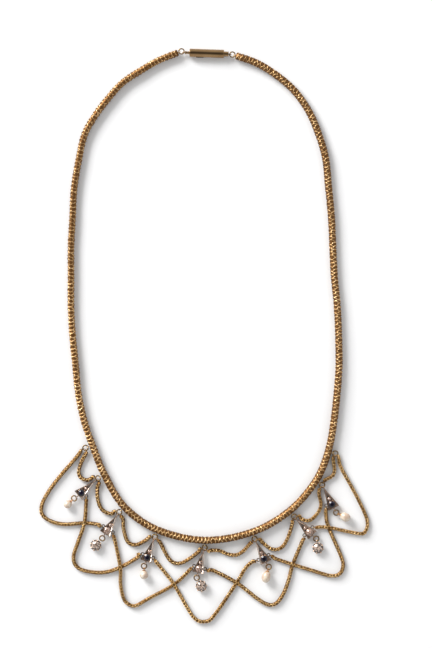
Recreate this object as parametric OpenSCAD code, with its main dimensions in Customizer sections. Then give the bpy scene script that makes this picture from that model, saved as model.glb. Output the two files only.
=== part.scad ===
// Woven gold festoon necklace, lying flat on a surface with its front towards -Y.
// A thick woven chain closes in a barrel clasp. Nine flat rings on its front edge carry eight
// short swags, seven long festoons and seven pointed settings, each with a drop.
// Millimetres. The surface is z = 0, and the origin is below the middle of the whole outline.

/* [Chains] */
// Width and height of the woven main chain
main_w = 2.6; // [2.4:0.1:2.8]
// Width and height of the thin woven chains
thin_w = 1.4; // [1.2:0.05:1.45]
// Sides of a chain's tube
chain_sides = 8; // [8:4:12]

/* [Rings and loops] */
// Outside diameter of the hanger rings and the drop rings
ring_d = 2.2; // [2.15:0.05:2.35]
// Wire of those rings
ring_wire = 0.42; // [0.34:0.02:0.44]
// Wire of the small loops that hold on to a ring
loop_wire = 0.24; // [0.2:0.02:0.26]
// Free room all round a ring's wire inside a loop
play = 0.12; // [0.1:0.01:0.14]
// Height of the rings above the surface
ring_z = 1.1; // [1.05:0.05:1.2]

/* [Settings] */
// Length of a pointed setting, from the middle of its top loop to its base
setting_len = 7.9; // [7.7:0.1:8.2]
// Width of a pointed setting across its base
setting_w = 4; // [3.8:0.1:4.2]
// Height of a pointed setting's side walls
setting_h = 1.45; // [1.35:0.05:1.6]
// Thickness of its side walls
wall = 0.42; // [0.35:0.01:0.5]
// Thickness of the metal round a stone
collet_wall = 0.22; // [0.18:0.01:0.26]

/* [Stones and drops] */
// Diameter of a main stone
main_stone_d = 2.2; // [2:0.1:2.3]
// Diameter of a small upper stone
small_stone_d = 1; // [0.8:0.1:1.1]
// Diameter of the stone in a claw drop
drop_stone_d = 3.1; // [2.8:0.1:3.3]
// Width of a pearl, before each pearl's own share of it
pearl_d = 3; // [2.8:0.1:3.2]

/* [Clasp] */
// Diameter of the barrel
barrel_d = 2.8; // [2.6:0.1:3]
// Length of the barrel
barrel_len = 11.7; // [11:0.1:12.2]
// Thickness of the barrel's wall
barrel_wall = 0.3; // [0.25:0.05:0.35]

/* [Hidden] */
SETTINGS = 7;
HANGERS = 9;
SWAGS = 8;
FESTOONS = 7;

GOLD = [0.78, 0.58, 0.3];
WHITE_METAL = [0.72, 0.68, 0.66];
SAPPHIRE = [0.05, 0.05, 0.12];
DIAMOND = [0.92, 0.9, 0.88];
PEARL = [0.93, 0.88, 0.8];

// Smooth circles, and circles this small
fine = 48;
wire_fine = 20;

// Small sizes that the pieces share
fuse = 0.2; // how far soldered pieces run into each other
slip = 0.05; // gap between a stone and its metal
lap_gap = 0.12; // gap between two chains in a crossing's lap
ring_gap_main = 8; // longest step between two rings of the main chain's tube
ring_gap_thin = 3.6; // the same for a thin chain
end_taper = 0.72; // a chain's end, against its full width
lead = 0.6; // how far a thin chain runs straight out from its ring

ring_r = (ring_d - ring_wire) / 2;
loop_r = ring_wire / 2 + play + loop_wire / 2;
loop_reach = loop_r + loop_wire / 2;
main_z = main_w / 2;
thin_z = thin_w / 2;

// From the middle of the main chain to the middle of a hanger ring
hang_out = main_w / 2 + loop_reach - fuse + ring_r;

// The main chain's middle line, from the clasp's left ring round the front to its right ring
MAIN_ROUTE = [
    [-10.5, 95.5], [-15.5, 93.5], [-21.5, 90], [-27.5, 86], [-32.5, 80.5], [-37, 74.5], [-40.5, 68],
    [-42.5, 59], [-44, 49.5], [-44.5, 39.5], [-45, 30], [-45, 20], [-45, 10], [-44.5, 0.5],
    [-43.5, -9.5], [-42.5, -19.5], [-40.5, -29], [-37.7, -37.2], [-33.6, -47.3], [-26.8, -58.2],
    [-15.5, -66], [0.5, -69.5], [16.6, -66.7], [29.3, -59.5], [38.2, -49.3], [42.4, -39.3],
    [44.5, -28], [46, -12.5], [46, -1.5], [45.5, 10], [44.5, 20], [44, 30], [43.5, 40.5],
    [42.5, 51], [41.5, 60.5], [39, 69], [36, 76], [32, 82], [27.5, 86.5], [22, 90.5], [17, 93.2],
    [13, 94.6]
];

// The point of that route beside the first hanger ring, and the others follow one by one
FIRST_HANGER = 17;

// Where two festoons cross. Crossing k joins festoons k and k + 1.
CROSSINGS = [[-40.5, -63.7], [-28.3, -78.8], [-10, -84.6], [11.3, -84], [30.4, -77.8], [42.6, -65.2]];

// Swags: the place on the ring where each starts, its route, and the place where it ends
SWAG_TABLE = [
    [275, [[-41.5, -43], [-42.4, -46], [-41.9, -48], [-40.2, -49], [-38.6, -48.8]], 165],
    [283, [[-36, -51.5], [-36.1, -54.5], [-35.4, -57.5], [-34.3, -59.3], [-32.5, -60.3], [-31, -60.5]], 172],
    [298, [[-27.3, -62.5], [-27.2, -65.5], [-25.8, -70], [-23, -71.1], [-20, -69.8], [-18.5, -68.6]], 178],
    [314, [[-14.5, -70.7], [-12.8, -74.2], [-10.8, -76.8], [-8, -77.4], [-5, -76], [-1.5, -73.3]], 195],
    [318, [[2.7, -73], [5.5, -73.1], [8, -74.2], [11, -74.6], [13.5, -73.3], [15.8, -70.7]], 228],
    [355, [[20, -70.2], [22.5, -72.2], [25, -72.7], [27.3, -71.3], [29.2, -67.5], [30.2, -64]], 250],
    [8, [[33, -62], [35, -62.9], [37, -62.3], [39.2, -59.8], [40, -57.3], [39.3, -54], [39.4, -52.5]], 240],
    [60, [[42.2, -48.6], [44, -47.6], [44.6, -45.5], [44.3, -43.5]], 245]
];

// Settings: hanger ring, place of the top loop on it, way the setting points, way to its drop
// ring, way the drop hangs, and the drop's own width and length against pearl_d
// (a claw drop where they are 0)
SETTING_TABLE = [
    [2, 224, 221, 206, 223, 0.9, 0.95],
    [3, 236, 237, 238, 227, 0, 0],
    [4, 248, 250, 246, 270, 0.95, 1],
    [5, 256, 255, 255, 299, 0, 0],
    [6, 293, 296, 308, 256, 1, 1.35],
    [7, 308, 315, 321, 280, 0, 0],
    [8, 298, 297, 298, 334, 1, 1.25]
];

// Festoons: place where each starts on its ring, its route, and the place where it ends.
// The first starts on the first hanger ring and the last ends on the last one.
FESTOON_TABLE = [
    [215, [[-43.5, -41.7], [-48.8, -47.8], [-52.8, -53.2], [-55, -57.7], [-54.7, -61], [-51.5, -63.2],
        [-47, -64.1], CROSSINGS[0], [-35.5, -64.2]], 176],
    [268, [[-40, -58], CROSSINGS[0], [-42.6, -70], [-44.2, -75], [-43.3, -78.3], [-40, -80],
        [-34, -80.5], CROSSINGS[1], [-22.3, -75.3]], 186],
    [280, [[-30, -70.3], CROSSINGS[1], [-28.2, -84.5], [-27.2, -89.3], [-25.5, -91.3], [-23, -91.8],
        [-18.5, -89.3], CROSSINGS[2], [-4.5, -79.5]], 222],
    [306, [[-14.5, -78.8], CROSSINGS[2], [-5.2, -93], [-2.5, -96.5], [0.5, -97.2], [3.5, -95.3],
        CROSSINGS[3], [14.3, -79], [16.8, -76.7]], 200],
    [333, [[3.3, -79.8], CROSSINGS[3], [18.5, -89.5], [22.3, -91.5], [25, -90.8], [27.3, -87.5],
        [29, -83], CROSSINGS[4], [33.8, -69.5]], 260],
    [338, [[24.5, -75.8], CROSSINGS[4], [37.5, -80], [43, -81.6], [46, -81.2], [47.4, -79],
        [47, -75.5], CROSSINGS[5], [41.7, -61]], 268],
    [354, [[39, -65.1], CROSSINGS[5], [53, -67.3], [55.2, -66.3], [55.8, -63.5], [54.5, -59.5],
        [51, -52.5], [46.8, -44.8]], 308]
];

// Flat geometry
function unit(v) = v / norm(v);
function toward(angle) = [cos(angle), sin(angle)];
function turned(v, angle) = [v.x * cos(angle) - v.y * sin(angle), v.x * sin(angle) + v.y * cos(angle)];
function way_of(v) = atan2(v.y, v.x);

// A smooth curve through the points p, with steps no longer than gap
function curve_point(p, i, t) =
    let (
        a = p[max(i - 1, 0)],
        b = p[i],
        c = p[i + 1],
        d = p[min(i + 2, len(p) - 1)]
    )
    (2 * b + (c - a) * t + (2 * a - 5 * b + 4 * c - d) * t ^ 2 + (3 * b - a - 3 * c + d) * t ^ 3) / 2;
function smooth(p, gap) = [
    for (i = [0 : len(p) - 2])
        let (steps = ceil(norm(p[i + 1] - p[i]) / gap))
        for (s = [0 : steps - 1])
            curve_point(p, i, s / steps),
    p[len(p) - 1]
];

// Places of the rings and loops
function main_way(i) = way_of(MAIN_ROUTE[i + 1] - MAIN_ROUTE[i - 1]);
function hanger(i) =
    let (at = FIRST_HANGER + i - 1)
    MAIN_ROUTE[at] + hang_out * toward(main_way(at) - 90);
function on_hanger(i, angle) = hanger(i) + ring_r * toward(angle);
function top_loop(i) = on_hanger(SETTING_TABLE[i - 1][0], SETTING_TABLE[i - 1][1]);
function setting_way(i) = SETTING_TABLE[i - 1][2];
function in_setting(i, place) = top_loop(i) + turned(place, setting_way(i));
function side_eye(i, side) = in_setting(i, [eye_at, side * eye_out]);
function base_loop(i) = in_setting(i, [setting_len + stem_len, 0]);
function drop_ring(i) = base_loop(i) + ring_r * toward(SETTING_TABLE[i - 1][3]);
function drop_way(i) = SETTING_TABLE[i - 1][4];
function drop_loop(i) = drop_ring(i) + ring_r * toward(drop_way(i));
function is_pearl(i) = SETTING_TABLE[i - 1][5] > 0;

// The setting's own outline, in its frame: +X from the top loop to the base
neck_at = 0.95;
neck_w = 0.44;
stem_len = 0.9;
flare = atan((setting_w - neck_w) / 2 / (setting_len - neck_at));
function half_width(x) = neck_w / 2 + (x - neck_at) * tan(flare);
collet_r = main_stone_d / 2 + slip + collet_wall;
small_collet_r = small_stone_d / 2 + slip + collet_wall;
main_stone_at = setting_len - collet_r;
collets_meet = 0.05; // how far the two collets run into each other
small_stone_at = main_stone_at - collet_r - small_collet_r + collets_meet;
eye_wire = 0.3;
eye_r = 0.52;
eye_sink = 0.25; // how far an eye's wire runs into the side wall
eye_back = 0.5; // from the main stone back to the eyes
eye_at = main_stone_at - eye_back;
eye_out = half_width(eye_at) + eye_r + eye_wire / 2 - eye_sink;
setting_neck_r = 0.2;
girdle_lift = 0.05; // the main stone's girdle above the side walls
setting_girdle_z = setting_h + girdle_lift;
small_girdle_z = setting_h;
rim = 0.1; // a collet's rim above its stone's girdle

// Shares of a stone's width
seat_depth = 0.14; // from the girdle down to the seat
seat_light = 0.36; // radius of the light hole
table_share = 0.56; // table, against the girdle
crown_share = 0.17;
girdle_share = 0.03;
pavilion_share = 0.4;
stone_fit = 0.96; // corners of the girdle, against a circle round the flats

// A chain's tube: one polyhedron swept along the path
function tube_rings(path, widths, sides) = [
    for (i = [0 : len(path) - 1])
        let (
            ahead = unit(path[min(i + 1, len(path) - 1)] - path[max(i - 1, 0)]),
            across = unit(cross([0, 0, 1], ahead)),
            up = cross(ahead, across),
            r = widths[i] / 2 / cos(180 / sides)
        )
        for (s = [0 : sides - 1])
            let (a = (s + 0.5) * 360 / sides)
            path[i] + r * (cos(a) * across + sin(a) * up)
];
function tube_faces(count, sides) = concat(
    [[for (s = [0 : sides - 1]) s]],
    [
        for (i = [0 : count - 2], s = [0 : sides - 1], half = [0, 1])
            let (
                a = i * sides + s,
                b = i * sides + (s + 1) % sides
            )
            half == 0 ? [a, b + sides, b] : [a, a + sides, b + sides]
    ],
    [[for (s = [sides - 1 : -1 : 0]) (count - 1) * sides + s]]
);
module tube(path, w, sides) {
    last = len(path) - 1;
    widths = [for (i = [0 : last]) i == 0 || i == last ? w * end_taper : w];
    polyhedron(tube_rings(path, widths, sides), tube_faces(len(path), sides), convexity = 10);
}

module torus(mean_r, wire) {
    rotate_extrude($fn = fine)
        translate([mean_r, 0])
            circle(d = wire, $fn = wire_fine);
}
module flat_ring(place, mean_r, wire, z) {
    translate([place.x, place.y, z])
        torus(mean_r, wire);
}

// A loop that stands upright round a ring's wire, in the plane that holds the angle
module loop(place, angle, z) {
    translate([place.x, place.y, z])
        rotate([90, 0, angle])
            torus(loop_r, loop_wire);
}

// Main chain: the tube, its loops for the hanger rings and a loop at each end
function clasp_left() = on_barrel(barrel_loop_at) + ring_r * toward(152);
function clasp_right() = on_barrel(tongue_loop_at) + ring_r * toward(-8);
function main_end(place, next) = place + ring_r * unit(next - place);
function main_path() =
    let (
        last = len(MAIN_ROUTE) - 1,
        left = main_end(clasp_left(), MAIN_ROUTE[0]),
        right = main_end(clasp_right(), MAIN_ROUTE[last]),
        ends = loop_reach - fuse
    )
    [for (p = smooth(concat(
        [left + ends * unit(MAIN_ROUTE[0] - left)],
        [for (i = [1 : last - 1]) MAIN_ROUTE[i]],
        [right + ends * unit(MAIN_ROUTE[last] - right)]
    ), ring_gap_main)) [p.x, p.y, main_z]];
module main_chain() {
    last = len(MAIN_ROUTE) - 1;
    color(GOLD) {
        tube(main_path(), main_w, chain_sides);
        loop(main_end(clasp_left(), MAIN_ROUTE[0]), way_of(MAIN_ROUTE[0] - clasp_left()), main_z);
        loop(main_end(clasp_right(), MAIN_ROUTE[last]), way_of(MAIN_ROUTE[last] - clasp_right()), main_z);
        for (i = [1 : HANGERS])
            let (inward = main_way(FIRST_HANGER + i - 1) + 90)
            loop(on_hanger(i, inward), inward, ring_z);
    }
}

module hanger_ring(i) {
    color(GOLD)
        flat_ring(hanger(i), ring_r, ring_wire, ring_z);
}

// A thin chain between two rings. An end is [middle of the ring, its mean radius, angle on it]:
// the loop is centred on the ring's wire there, and the chain leaves straight out before it bends.
function end_point(end, out) = end[0] + (end[1] + out) * toward(end[2]);
function thin_path(start, route, finish) =
    let (
        out = loop_reach - fuse,
        flat = smooth(concat(
            [end_point(start, out), end_point(start, out + lead)],
            route,
            [end_point(finish, out + lead), end_point(finish, out)]
        ), ring_gap_thin),
        count = len(flat) - 1,
        rise = ring_z - thin_z
    )
    [
        for (i = [0 : count])
            let (from_end = min(i, count - i))
            [flat[i].x, flat[i].y, thin_z + rise * (from_end == 0 ? 1 : from_end == 1 ? 0.6 : 0)]
    ];
module thin_chain(start, route, finish) {
    tube(thin_path(start, route, finish), thin_w, chain_sides);
    for (end = [start, finish])
        loop(end_point(end, 0), end[2], ring_z);
}

function swag_start(i) = [hanger(i), ring_r, SWAG_TABLE[i - 1][0]];
function swag_finish(i) = [hanger(i + 1), ring_r, SWAG_TABLE[i - 1][2]];
module swag(i) {
    color(GOLD)
        thin_chain(swag_start(i), SWAG_TABLE[i - 1][1], swag_finish(i));
}

// Where two festoons cross, each keeps half of its height, so they lie level as soldered chains do
function festoon_start(i) =
    let (angle = FESTOON_TABLE[i - 1][0])
    i == 1 ? [hanger(1), ring_r, angle] : [side_eye(i - 1, 1), eye_r, angle];
function festoon_finish(i) =
    let (angle = FESTOON_TABLE[i - 1][2])
    i == FESTOONS ? [hanger(HANGERS), ring_r, angle] : [side_eye(i + 1, -1), eye_r, angle];
function crossing_way(i, k) =
    let (
        route = FESTOON_TABLE[i - 1][1],
        at = search([CROSSINGS[k - 1]], route)[0]
    )
    way_of(route[at + 1] - route[at - 1]);
module lap_cut(k, other, upper) {
    long = 3 * thin_w;
    wide = thin_w + 4 * lap_gap;
    floor_z = upper ? -1 : thin_z - lap_gap / 2;
    place = CROSSINGS[k - 1];
    translate([place.x, place.y, floor_z])
        rotate(crossing_way(other, k))
            translate([-long / 2, -wide / 2, 0])
                cube([long, wide, upper ? 1 + thin_z + lap_gap / 2 : thin_w]);
}
module festoon(i) {
    color(GOLD)
        difference() {
            thin_chain(festoon_start(i), FESTOON_TABLE[i - 1][1], festoon_finish(i));
            if (i > 1)
                lap_cut(i - 1, i - 1, true);
            if (i < FESTOONS)
                lap_cut(i, i + 1, false);
        }
}

// A pointed setting, in its own frame
module setting_frame() {
    inner_base = setting_len - wall;
    side = wall / cos(flare);
    inner_tip = neck_at + (side - neck_w / 2) / tan(flare);
    linear_extrude(setting_h)
        difference() {
            polygon([
                [neck_at, neck_w / 2], [neck_at, -neck_w / 2],
                [setting_len, -setting_w / 2], [setting_len, setting_w / 2]
            ]);
            polygon([
                [inner_tip, 0],
                [inner_base, side - half_width(inner_base)],
                [inner_base, half_width(inner_base) - side]
            ]);
        }
}
module collet(at, outer_r, h) {
    translate([at, 0, 0])
        cylinder(r = outer_r, h = h, $fn = fine);
}

// The hole that a stone sits in: open above, and a narrower light hole below
module stone_seat(at, stone_d, girdle_z) {
    translate([at, 0, girdle_z - stone_d * seat_depth])
        cylinder(d = stone_d + 2 * slip, h = stone_d, $fn = fine);
    translate([at, 0, -1])
        cylinder(r = stone_d * seat_light, h = girdle_z + 2, $fn = fine);
}
// Side eyes, one for each neighbour that a festoon comes from
module setting_eyes(i) {
    for (side = [-1, 1])
        if (i + side >= 1 && i + side <= SETTINGS)
            translate([eye_at, side * eye_out, ring_z])
                torus(eye_r, eye_wire);
}
module stem(from, to, r) {
    translate([from, 0, ring_z])
        rotate([0, 90, 0])
            cylinder(r = r, h = to - from, $fn = fine);
}
module setting(i) {
    place = top_loop(i);
    color(WHITE_METAL)
        translate([place.x, place.y, 0])
            rotate(setting_way(i)) {
                difference() {
                    union() {
                        setting_frame();
                        collet(main_stone_at, collet_r, setting_girdle_z + rim);
                        collet(small_stone_at, small_collet_r, small_girdle_z + rim);
                    }
                    stone_seat(main_stone_at, main_stone_d, setting_girdle_z);
                    stone_seat(small_stone_at, small_stone_d, small_girdle_z);
                }
                setting_eyes(i);
                loop([0, 0], 0, ring_z);
                stem(loop_r, neck_at + fuse, setting_neck_r);
                loop([setting_len + stem_len, 0], 0, ring_z);
                stem(setting_len - wall / 2, setting_len + stem_len - loop_r, setting_neck_r);
            }
}

// A round cut stone with a table, eight crown facets and eight below, its girdle at z = 0
function stone_ring(r, z) = [for (s = [0 : 7]) [r * cos(45 * s), r * sin(45 * s), z]];
module cut_stone(d) {
    r = d / 2 / cos(22.5) * stone_fit;
    points = concat(
        stone_ring(r * table_share, d * crown_share),
        stone_ring(r, d * girdle_share),
        stone_ring(r, 0),
        [[0, 0, -d * pavilion_share]]
    );
    band = [for (row = [0, 1], s = [0 : 7], half = [0, 1])
        let (
            a = row * 8 + s,
            b = row * 8 + (s + 1) % 8
        )
        half == 0 ? [a, b, b + 8] : [a, b + 8, a + 8]];
    pavilion = [for (s = [0 : 7]) [16 + s, 16 + (s + 1) % 8, 24]];
    polyhedron(points, concat([[for (s = [7 : -1 : 0]) s]], band, pavilion), convexity = 2);
}
module main_stone(i) {
    place = in_setting(i, [main_stone_at, 0]);
    color(is_pearl(i) ? SAPPHIRE : DIAMOND)
        translate([place.x, place.y, setting_girdle_z])
            rotate(setting_way(i))
                cut_stone(main_stone_d);
}
module small_stones() {
    color(DIAMOND)
        for (i = [1 : SETTINGS])
            let (place = in_setting(i, [small_stone_at, 0]))
            translate([place.x, place.y, small_girdle_z])
                rotate(setting_way(i))
                    cut_stone(small_stone_d);
}

module drop_rings() {
    color(GOLD)
        for (i = [1 : SETTINGS])
            flat_ring(drop_ring(i), ring_r, ring_wire, ring_z);
}

// Pearls: the axis leaves the loop along +X and leans up until the pearl's belly rests
cap_start = 0.35;
cap_len = 0.55;
cap_tip_r = 0.25;
cap_r = 0.75;
cap_hold = 0.45; // share of the cap's length that the pearl sits in
peg_d = 0.5;
peg_len = 1;
pearl_lift = 0.06; // keeps a leaning pearl just clear of the surface
function pearl_w(i) = pearl_d * SETTING_TABLE[i - 1][5];
function pearl_len(i) = pearl_d * SETTING_TABLE[i - 1][6];
function pearl_at(i) = cap_start + cap_len * cap_hold + pearl_len(i) / 2;
function pearl_lean(i) = asin(max(0, pearl_w(i) / 2 + pearl_lift - ring_z) / pearl_at(i));
module on_pearl_axis(i) {
    place = drop_loop(i);
    translate([place.x, place.y, ring_z])
        rotate([0, -pearl_lean(i), drop_way(i)])
            rotate([0, 90, 0])
                children();
}

// A pearl's half outline: a little fuller towards its free end
pearl_steps = 12;
pearl_fuller = 0.05;
function pearl_outline(w, l) = [
    for (s = [0 : pearl_steps])
        let (a = 180 * s / pearl_steps)
        [max(0, w / 2 * sin(a) * (1 - pearl_fuller * cos(a))), -l / 2 * cos(a)]
];
module pearl(i) {
    color(PEARL)
        on_pearl_axis(i)
            translate([0, 0, pearl_at(i)])
                difference() {
                    rotate_extrude($fn = fine)
                        polygon(pearl_outline(pearl_w(i), pearl_len(i)));
                    translate([0, 0, -pearl_len(i)])
                        cylinder(d = peg_d + 2 * slip, h = pearl_len(i) / 2 + peg_len + slip, $fn = fine);
                }
}
module pearl_cap(i) {
    pearl_top = pearl_at(i) - pearl_len(i) / 2;
    color(GOLD)
        on_pearl_axis(i) {
            difference() {
                translate([0, 0, cap_start])
                    cylinder(r1 = cap_tip_r, r2 = cap_r, h = cap_len, $fn = fine);
                translate([0, 0, pearl_at(i)])
                    rotate_extrude($fn = fine)
                        polygon(pearl_outline(pearl_w(i) + 4 * slip, pearl_len(i) + 4 * slip));
            }
            translate([0, 0, cap_start])
                cylinder(d = peg_d, h = pearl_top + peg_len - cap_start, $fn = fine);
            rotate([0, -90, 0])
                loop([0, 0], 0, 0);
        }
}

// Claw drops: a round cup with eight claws, its stone face up
CLAWS = 8;
cup_wall = 0.25;
cup_r = drop_stone_d / 2 + 0.3;
cup_foot_r = cup_r * 0.62;
cup_h = 1.45;
cup_at = loop_reach - fuse / 2 + cup_r;
cup_stem_r = 0.17;
claw_r = 0.18;
claw_tip_r = 0.22;
claw_from = 0.87; // height at which the claws leave the cup's wall
claw_tip_in = 0.08; // how far the claws' tips lean in
claw_tip_z = 1.78;
drop_girdle_z = 1.5;
module round_the_cup(out, z) {
    for (s = [0 : CLAWS - 1])
        rotate(360 / CLAWS * (s + 0.5))
            translate([out, 0, z])
                children();
}
module claw_cup(i) {
    place = drop_loop(i);
    stem_end = cup_at - cup_foot_r - (cup_r - cup_foot_r) * ring_z / cup_h + cup_wall / 2;
    color(WHITE_METAL)
        translate([place.x, place.y, 0])
            rotate(drop_way(i)) {
                translate([cup_at, 0, 0]) {
                    difference() {
                        cylinder(r1 = cup_foot_r, r2 = cup_r, h = cup_h, $fn = fine);
                        translate([0, 0, -0.01])
                            cylinder(
                                r1 = cup_foot_r - cup_wall, r2 = cup_r - cup_wall,
                                h = cup_h + 0.02, $fn = fine
                            );
                    }
                    round_the_cup(cup_r, claw_from)
                        cylinder(r = claw_r, h = claw_tip_z - claw_from, $fn = fine);
                    round_the_cup(cup_r - claw_tip_in, claw_tip_z)
                        sphere(r = claw_tip_r, $fn = fine);
                }
                loop([0, 0], 0, ring_z);
                stem(loop_r, stem_end, cup_stem_r);
            }
}
module claw_stone(i) {
    place = drop_loop(i) + cup_at * toward(drop_way(i));
    color(DIAMOND)
        translate([place.x, place.y, drop_girdle_z])
            rotate(drop_way(i) + 22.5)
                cut_stone(drop_stone_d);
}
module drop_mount(i) {
    if (is_pearl(i))
        pearl_cap(i);
    else
        claw_cup(i);
}
module drop(i) {
    if (is_pearl(i))
        pearl(i);
    else
        claw_stone(i);
}

// Clasp: a closed barrel, and a folded spring tongue with a thumb piece in the barrel's slot.
// Its own frame has +X along the barrel, from the barrel's closed end.
barrel_from = [-4.7, 96.2];
barrel_way = -2;
barrel_z = barrel_d / 2;
barrel_bore = barrel_d - 2 * barrel_wall;
barrel_end = 0.4; // thickness of the closed end
barrel_neck = 1.6;
barrel_neck_d = 1.1;
thumb_at = 2.2;
thumb_len = 2.6;
thumb_w = 0.6;
thumb_proud = 0.15;
tongue_from = 0.8;
tongue_neck = 1.6;
tongue_neck_d = 1.7;
plug_len = 0.9;
leaf = 0.3; // thickness of the spring's two leaves
leaf_h = 1.2;
leaf_out = 0.35; // from the barrel's axis to a leaf
barrel_loop_at = -barrel_neck - loop_reach + fuse;
tongue_loop_at = barrel_len + tongue_neck + loop_reach - fuse;
function on_barrel(at) = barrel_from + at * toward(barrel_way);
module on_barrel_axis() {
    translate([barrel_from.x, barrel_from.y, barrel_z])
        rotate(barrel_way)
            children();
}
module rod(from, to, d) {
    translate([from, 0, 0])
        rotate([0, 90, 0])
            cylinder(d = d, h = to - from, $fn = fine);
}
module clasp_loop(at) {
    translate([at, 0, main_z - barrel_z])
        rotate([90, 0, 0])
            torus(loop_r, loop_wire);
}
module clasp_barrel() {
    color(GOLD)
        on_barrel_axis() {
            difference() {
                rod(0, barrel_len, barrel_d);
                rod(barrel_end, barrel_len + 1, barrel_bore);
                translate([thumb_at - slip, -barrel_d, -thumb_w / 2 - slip])
                    cube([thumb_len + 2 * slip, barrel_d, thumb_w + 2 * slip]);
            }
            rod(-barrel_neck, barrel_end / 2, barrel_neck_d);
            clasp_loop(barrel_loop_at);
        }
}
module clasp_tongue() {
    long_leaf = barrel_len - plug_len + fuse - tongue_from;
    short_leaf = thumb_at + thumb_len;
    color(GOLD)
        on_barrel_axis() {
            rod(barrel_len - plug_len, barrel_len, barrel_bore - 2 * slip);
            rod(barrel_len - fuse, barrel_len + tongue_neck, tongue_neck_d);
            translate([tongue_from, leaf_out, -leaf_h / 2])
                cube([long_leaf, leaf, leaf_h]);
            translate([tongue_from, -leaf_out - leaf, -leaf_h / 2])
                cube([short_leaf, leaf, leaf_h]);
            translate([tongue_from, -leaf_out - leaf / 2, -leaf_h / 2])
                cube([leaf, 2 * leaf_out + leaf, leaf_h]);
            translate([thumb_at, -barrel_z - thumb_proud, -thumb_w / 2])
                cube([thumb_len, barrel_z + thumb_proud - leaf_out - leaf / 2, thumb_w]);
            clasp_loop(tongue_loop_at);
        }
}
module clasp_ring(place) {
    color(GOLD)
        flat_ring(place, ring_r, ring_wire, main_z);
}

main_chain();
clasp_barrel();
clasp_tongue();
clasp_ring(clasp_left());  // clasp_ring_left
clasp_ring(clasp_right());  // clasp_ring_right
for (i = [1 : HANGERS]) hanger_ring(i);
for (i = [1 : SWAGS]) swag(i);
for (i = [1 : FESTOONS]) festoon(i);
for (i = [1 : SETTINGS]) setting(i);
for (i = [1 : SETTINGS]) main_stone(i);
small_stones();
drop_rings();
for (i = [1 : SETTINGS]) drop_mount(i);
for (i = [1 : SETTINGS]) drop(i);
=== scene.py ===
"""Dresses a woven gold festoon necklace that lies flat, seen from straight above.

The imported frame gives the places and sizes. This script adds the weave of the chains, the full cut
of the stones, the skin of the pearls, the finishes, the floor, the light and the camera.
Sizes are in millimetres until a mesh is made, and in metres from there on.
"""

import logging
import math
from dataclasses import dataclass, field
from enum import Enum
from typing import Callable, Iterable, Mapping, Sequence

import bmesh
import bpy
import numpy as np
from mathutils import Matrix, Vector, noise


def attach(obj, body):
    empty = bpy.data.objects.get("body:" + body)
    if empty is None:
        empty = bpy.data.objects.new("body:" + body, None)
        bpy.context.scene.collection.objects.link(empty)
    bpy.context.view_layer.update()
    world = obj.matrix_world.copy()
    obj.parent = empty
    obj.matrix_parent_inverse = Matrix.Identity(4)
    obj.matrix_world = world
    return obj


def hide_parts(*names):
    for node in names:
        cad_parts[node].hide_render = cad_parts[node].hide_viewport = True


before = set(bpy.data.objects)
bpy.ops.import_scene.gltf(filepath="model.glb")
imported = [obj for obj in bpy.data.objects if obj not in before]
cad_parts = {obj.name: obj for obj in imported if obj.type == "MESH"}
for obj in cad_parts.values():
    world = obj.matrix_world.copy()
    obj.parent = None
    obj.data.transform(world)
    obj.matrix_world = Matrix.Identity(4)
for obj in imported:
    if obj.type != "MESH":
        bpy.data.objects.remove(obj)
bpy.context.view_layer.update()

MM = 0.001
BODY = "root"
CREST = "crest"
LOG = logging.getLogger("necklace")

Point = tuple[float, float]
Place = tuple[float, float, float]
Colour = tuple[float, float, float]

# Sizes shared with the frame's construction: widths of the two chains, a ring's outer width and
# wire, a loop's wire and the room in it, the height of the rings' middles, how deep soldered parts
# run into each other, the room round a stone, and a thin chain's straight start
MAIN_WIDTH = 2.6
THIN_WIDTH = 1.4
RING_D = 2.2
RING_WIRE = 0.42
LOOP_WIRE = 0.24
PLAY = 0.12
RING_Z = 1.1
FUSE = 0.2
SLIP = 0.05
LEAD = 0.6
RING_R = (RING_D - RING_WIRE) / 2
LOOP_R = RING_WIRE / 2 + PLAY + LOOP_WIRE / 2
LOOP_REACH = LOOP_R + LOOP_WIRE / 2
MAIN_Z = MAIN_WIDTH / 2
THIN_Z = THIN_WIDTH / 2
HANG_OUT = MAIN_WIDTH / 2 + LOOP_REACH - FUSE + RING_R

# The main chain's middle line, from the clasp's left ring round the front to its right ring
MAIN_ROUTE: tuple[Point, ...] = (
    (-10.5, 95.5), (-15.5, 93.5), (-21.5, 90), (-27.5, 86), (-32.5, 80.5), (-37, 74.5), (-40.5, 68),
    (-42.5, 59), (-44, 49.5), (-44.5, 39.5), (-45, 30), (-45, 20), (-45, 10), (-44.5, 0.5),
    (-43.5, -9.5), (-42.5, -19.5), (-40.5, -29), (-37.7, -37.2), (-33.6, -47.3), (-26.8, -58.2),
    (-15.5, -66), (0.5, -69.5), (16.6, -66.7), (29.3, -59.5), (38.2, -49.3), (42.4, -39.3),
    (44.5, -28), (46, -12.5), (46, -1.5), (45.5, 10), (44.5, 20), (44, 30), (43.5, 40.5),
    (42.5, 51), (41.5, 60.5), (39, 69), (36, 76), (32, 82), (27.5, 86.5), (22, 90.5), (17, 93.2),
    (13, 94.6),
)
FIRST_HANGER = 17
HANGERS = 9

# Where two festoons cross
CROSSINGS: tuple[Point, ...] = (
    (-40.5, -63.7), (-28.3, -78.8), (-10, -84.6), (11.3, -84), (30.4, -77.8), (42.6, -65.2),
)

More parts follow.
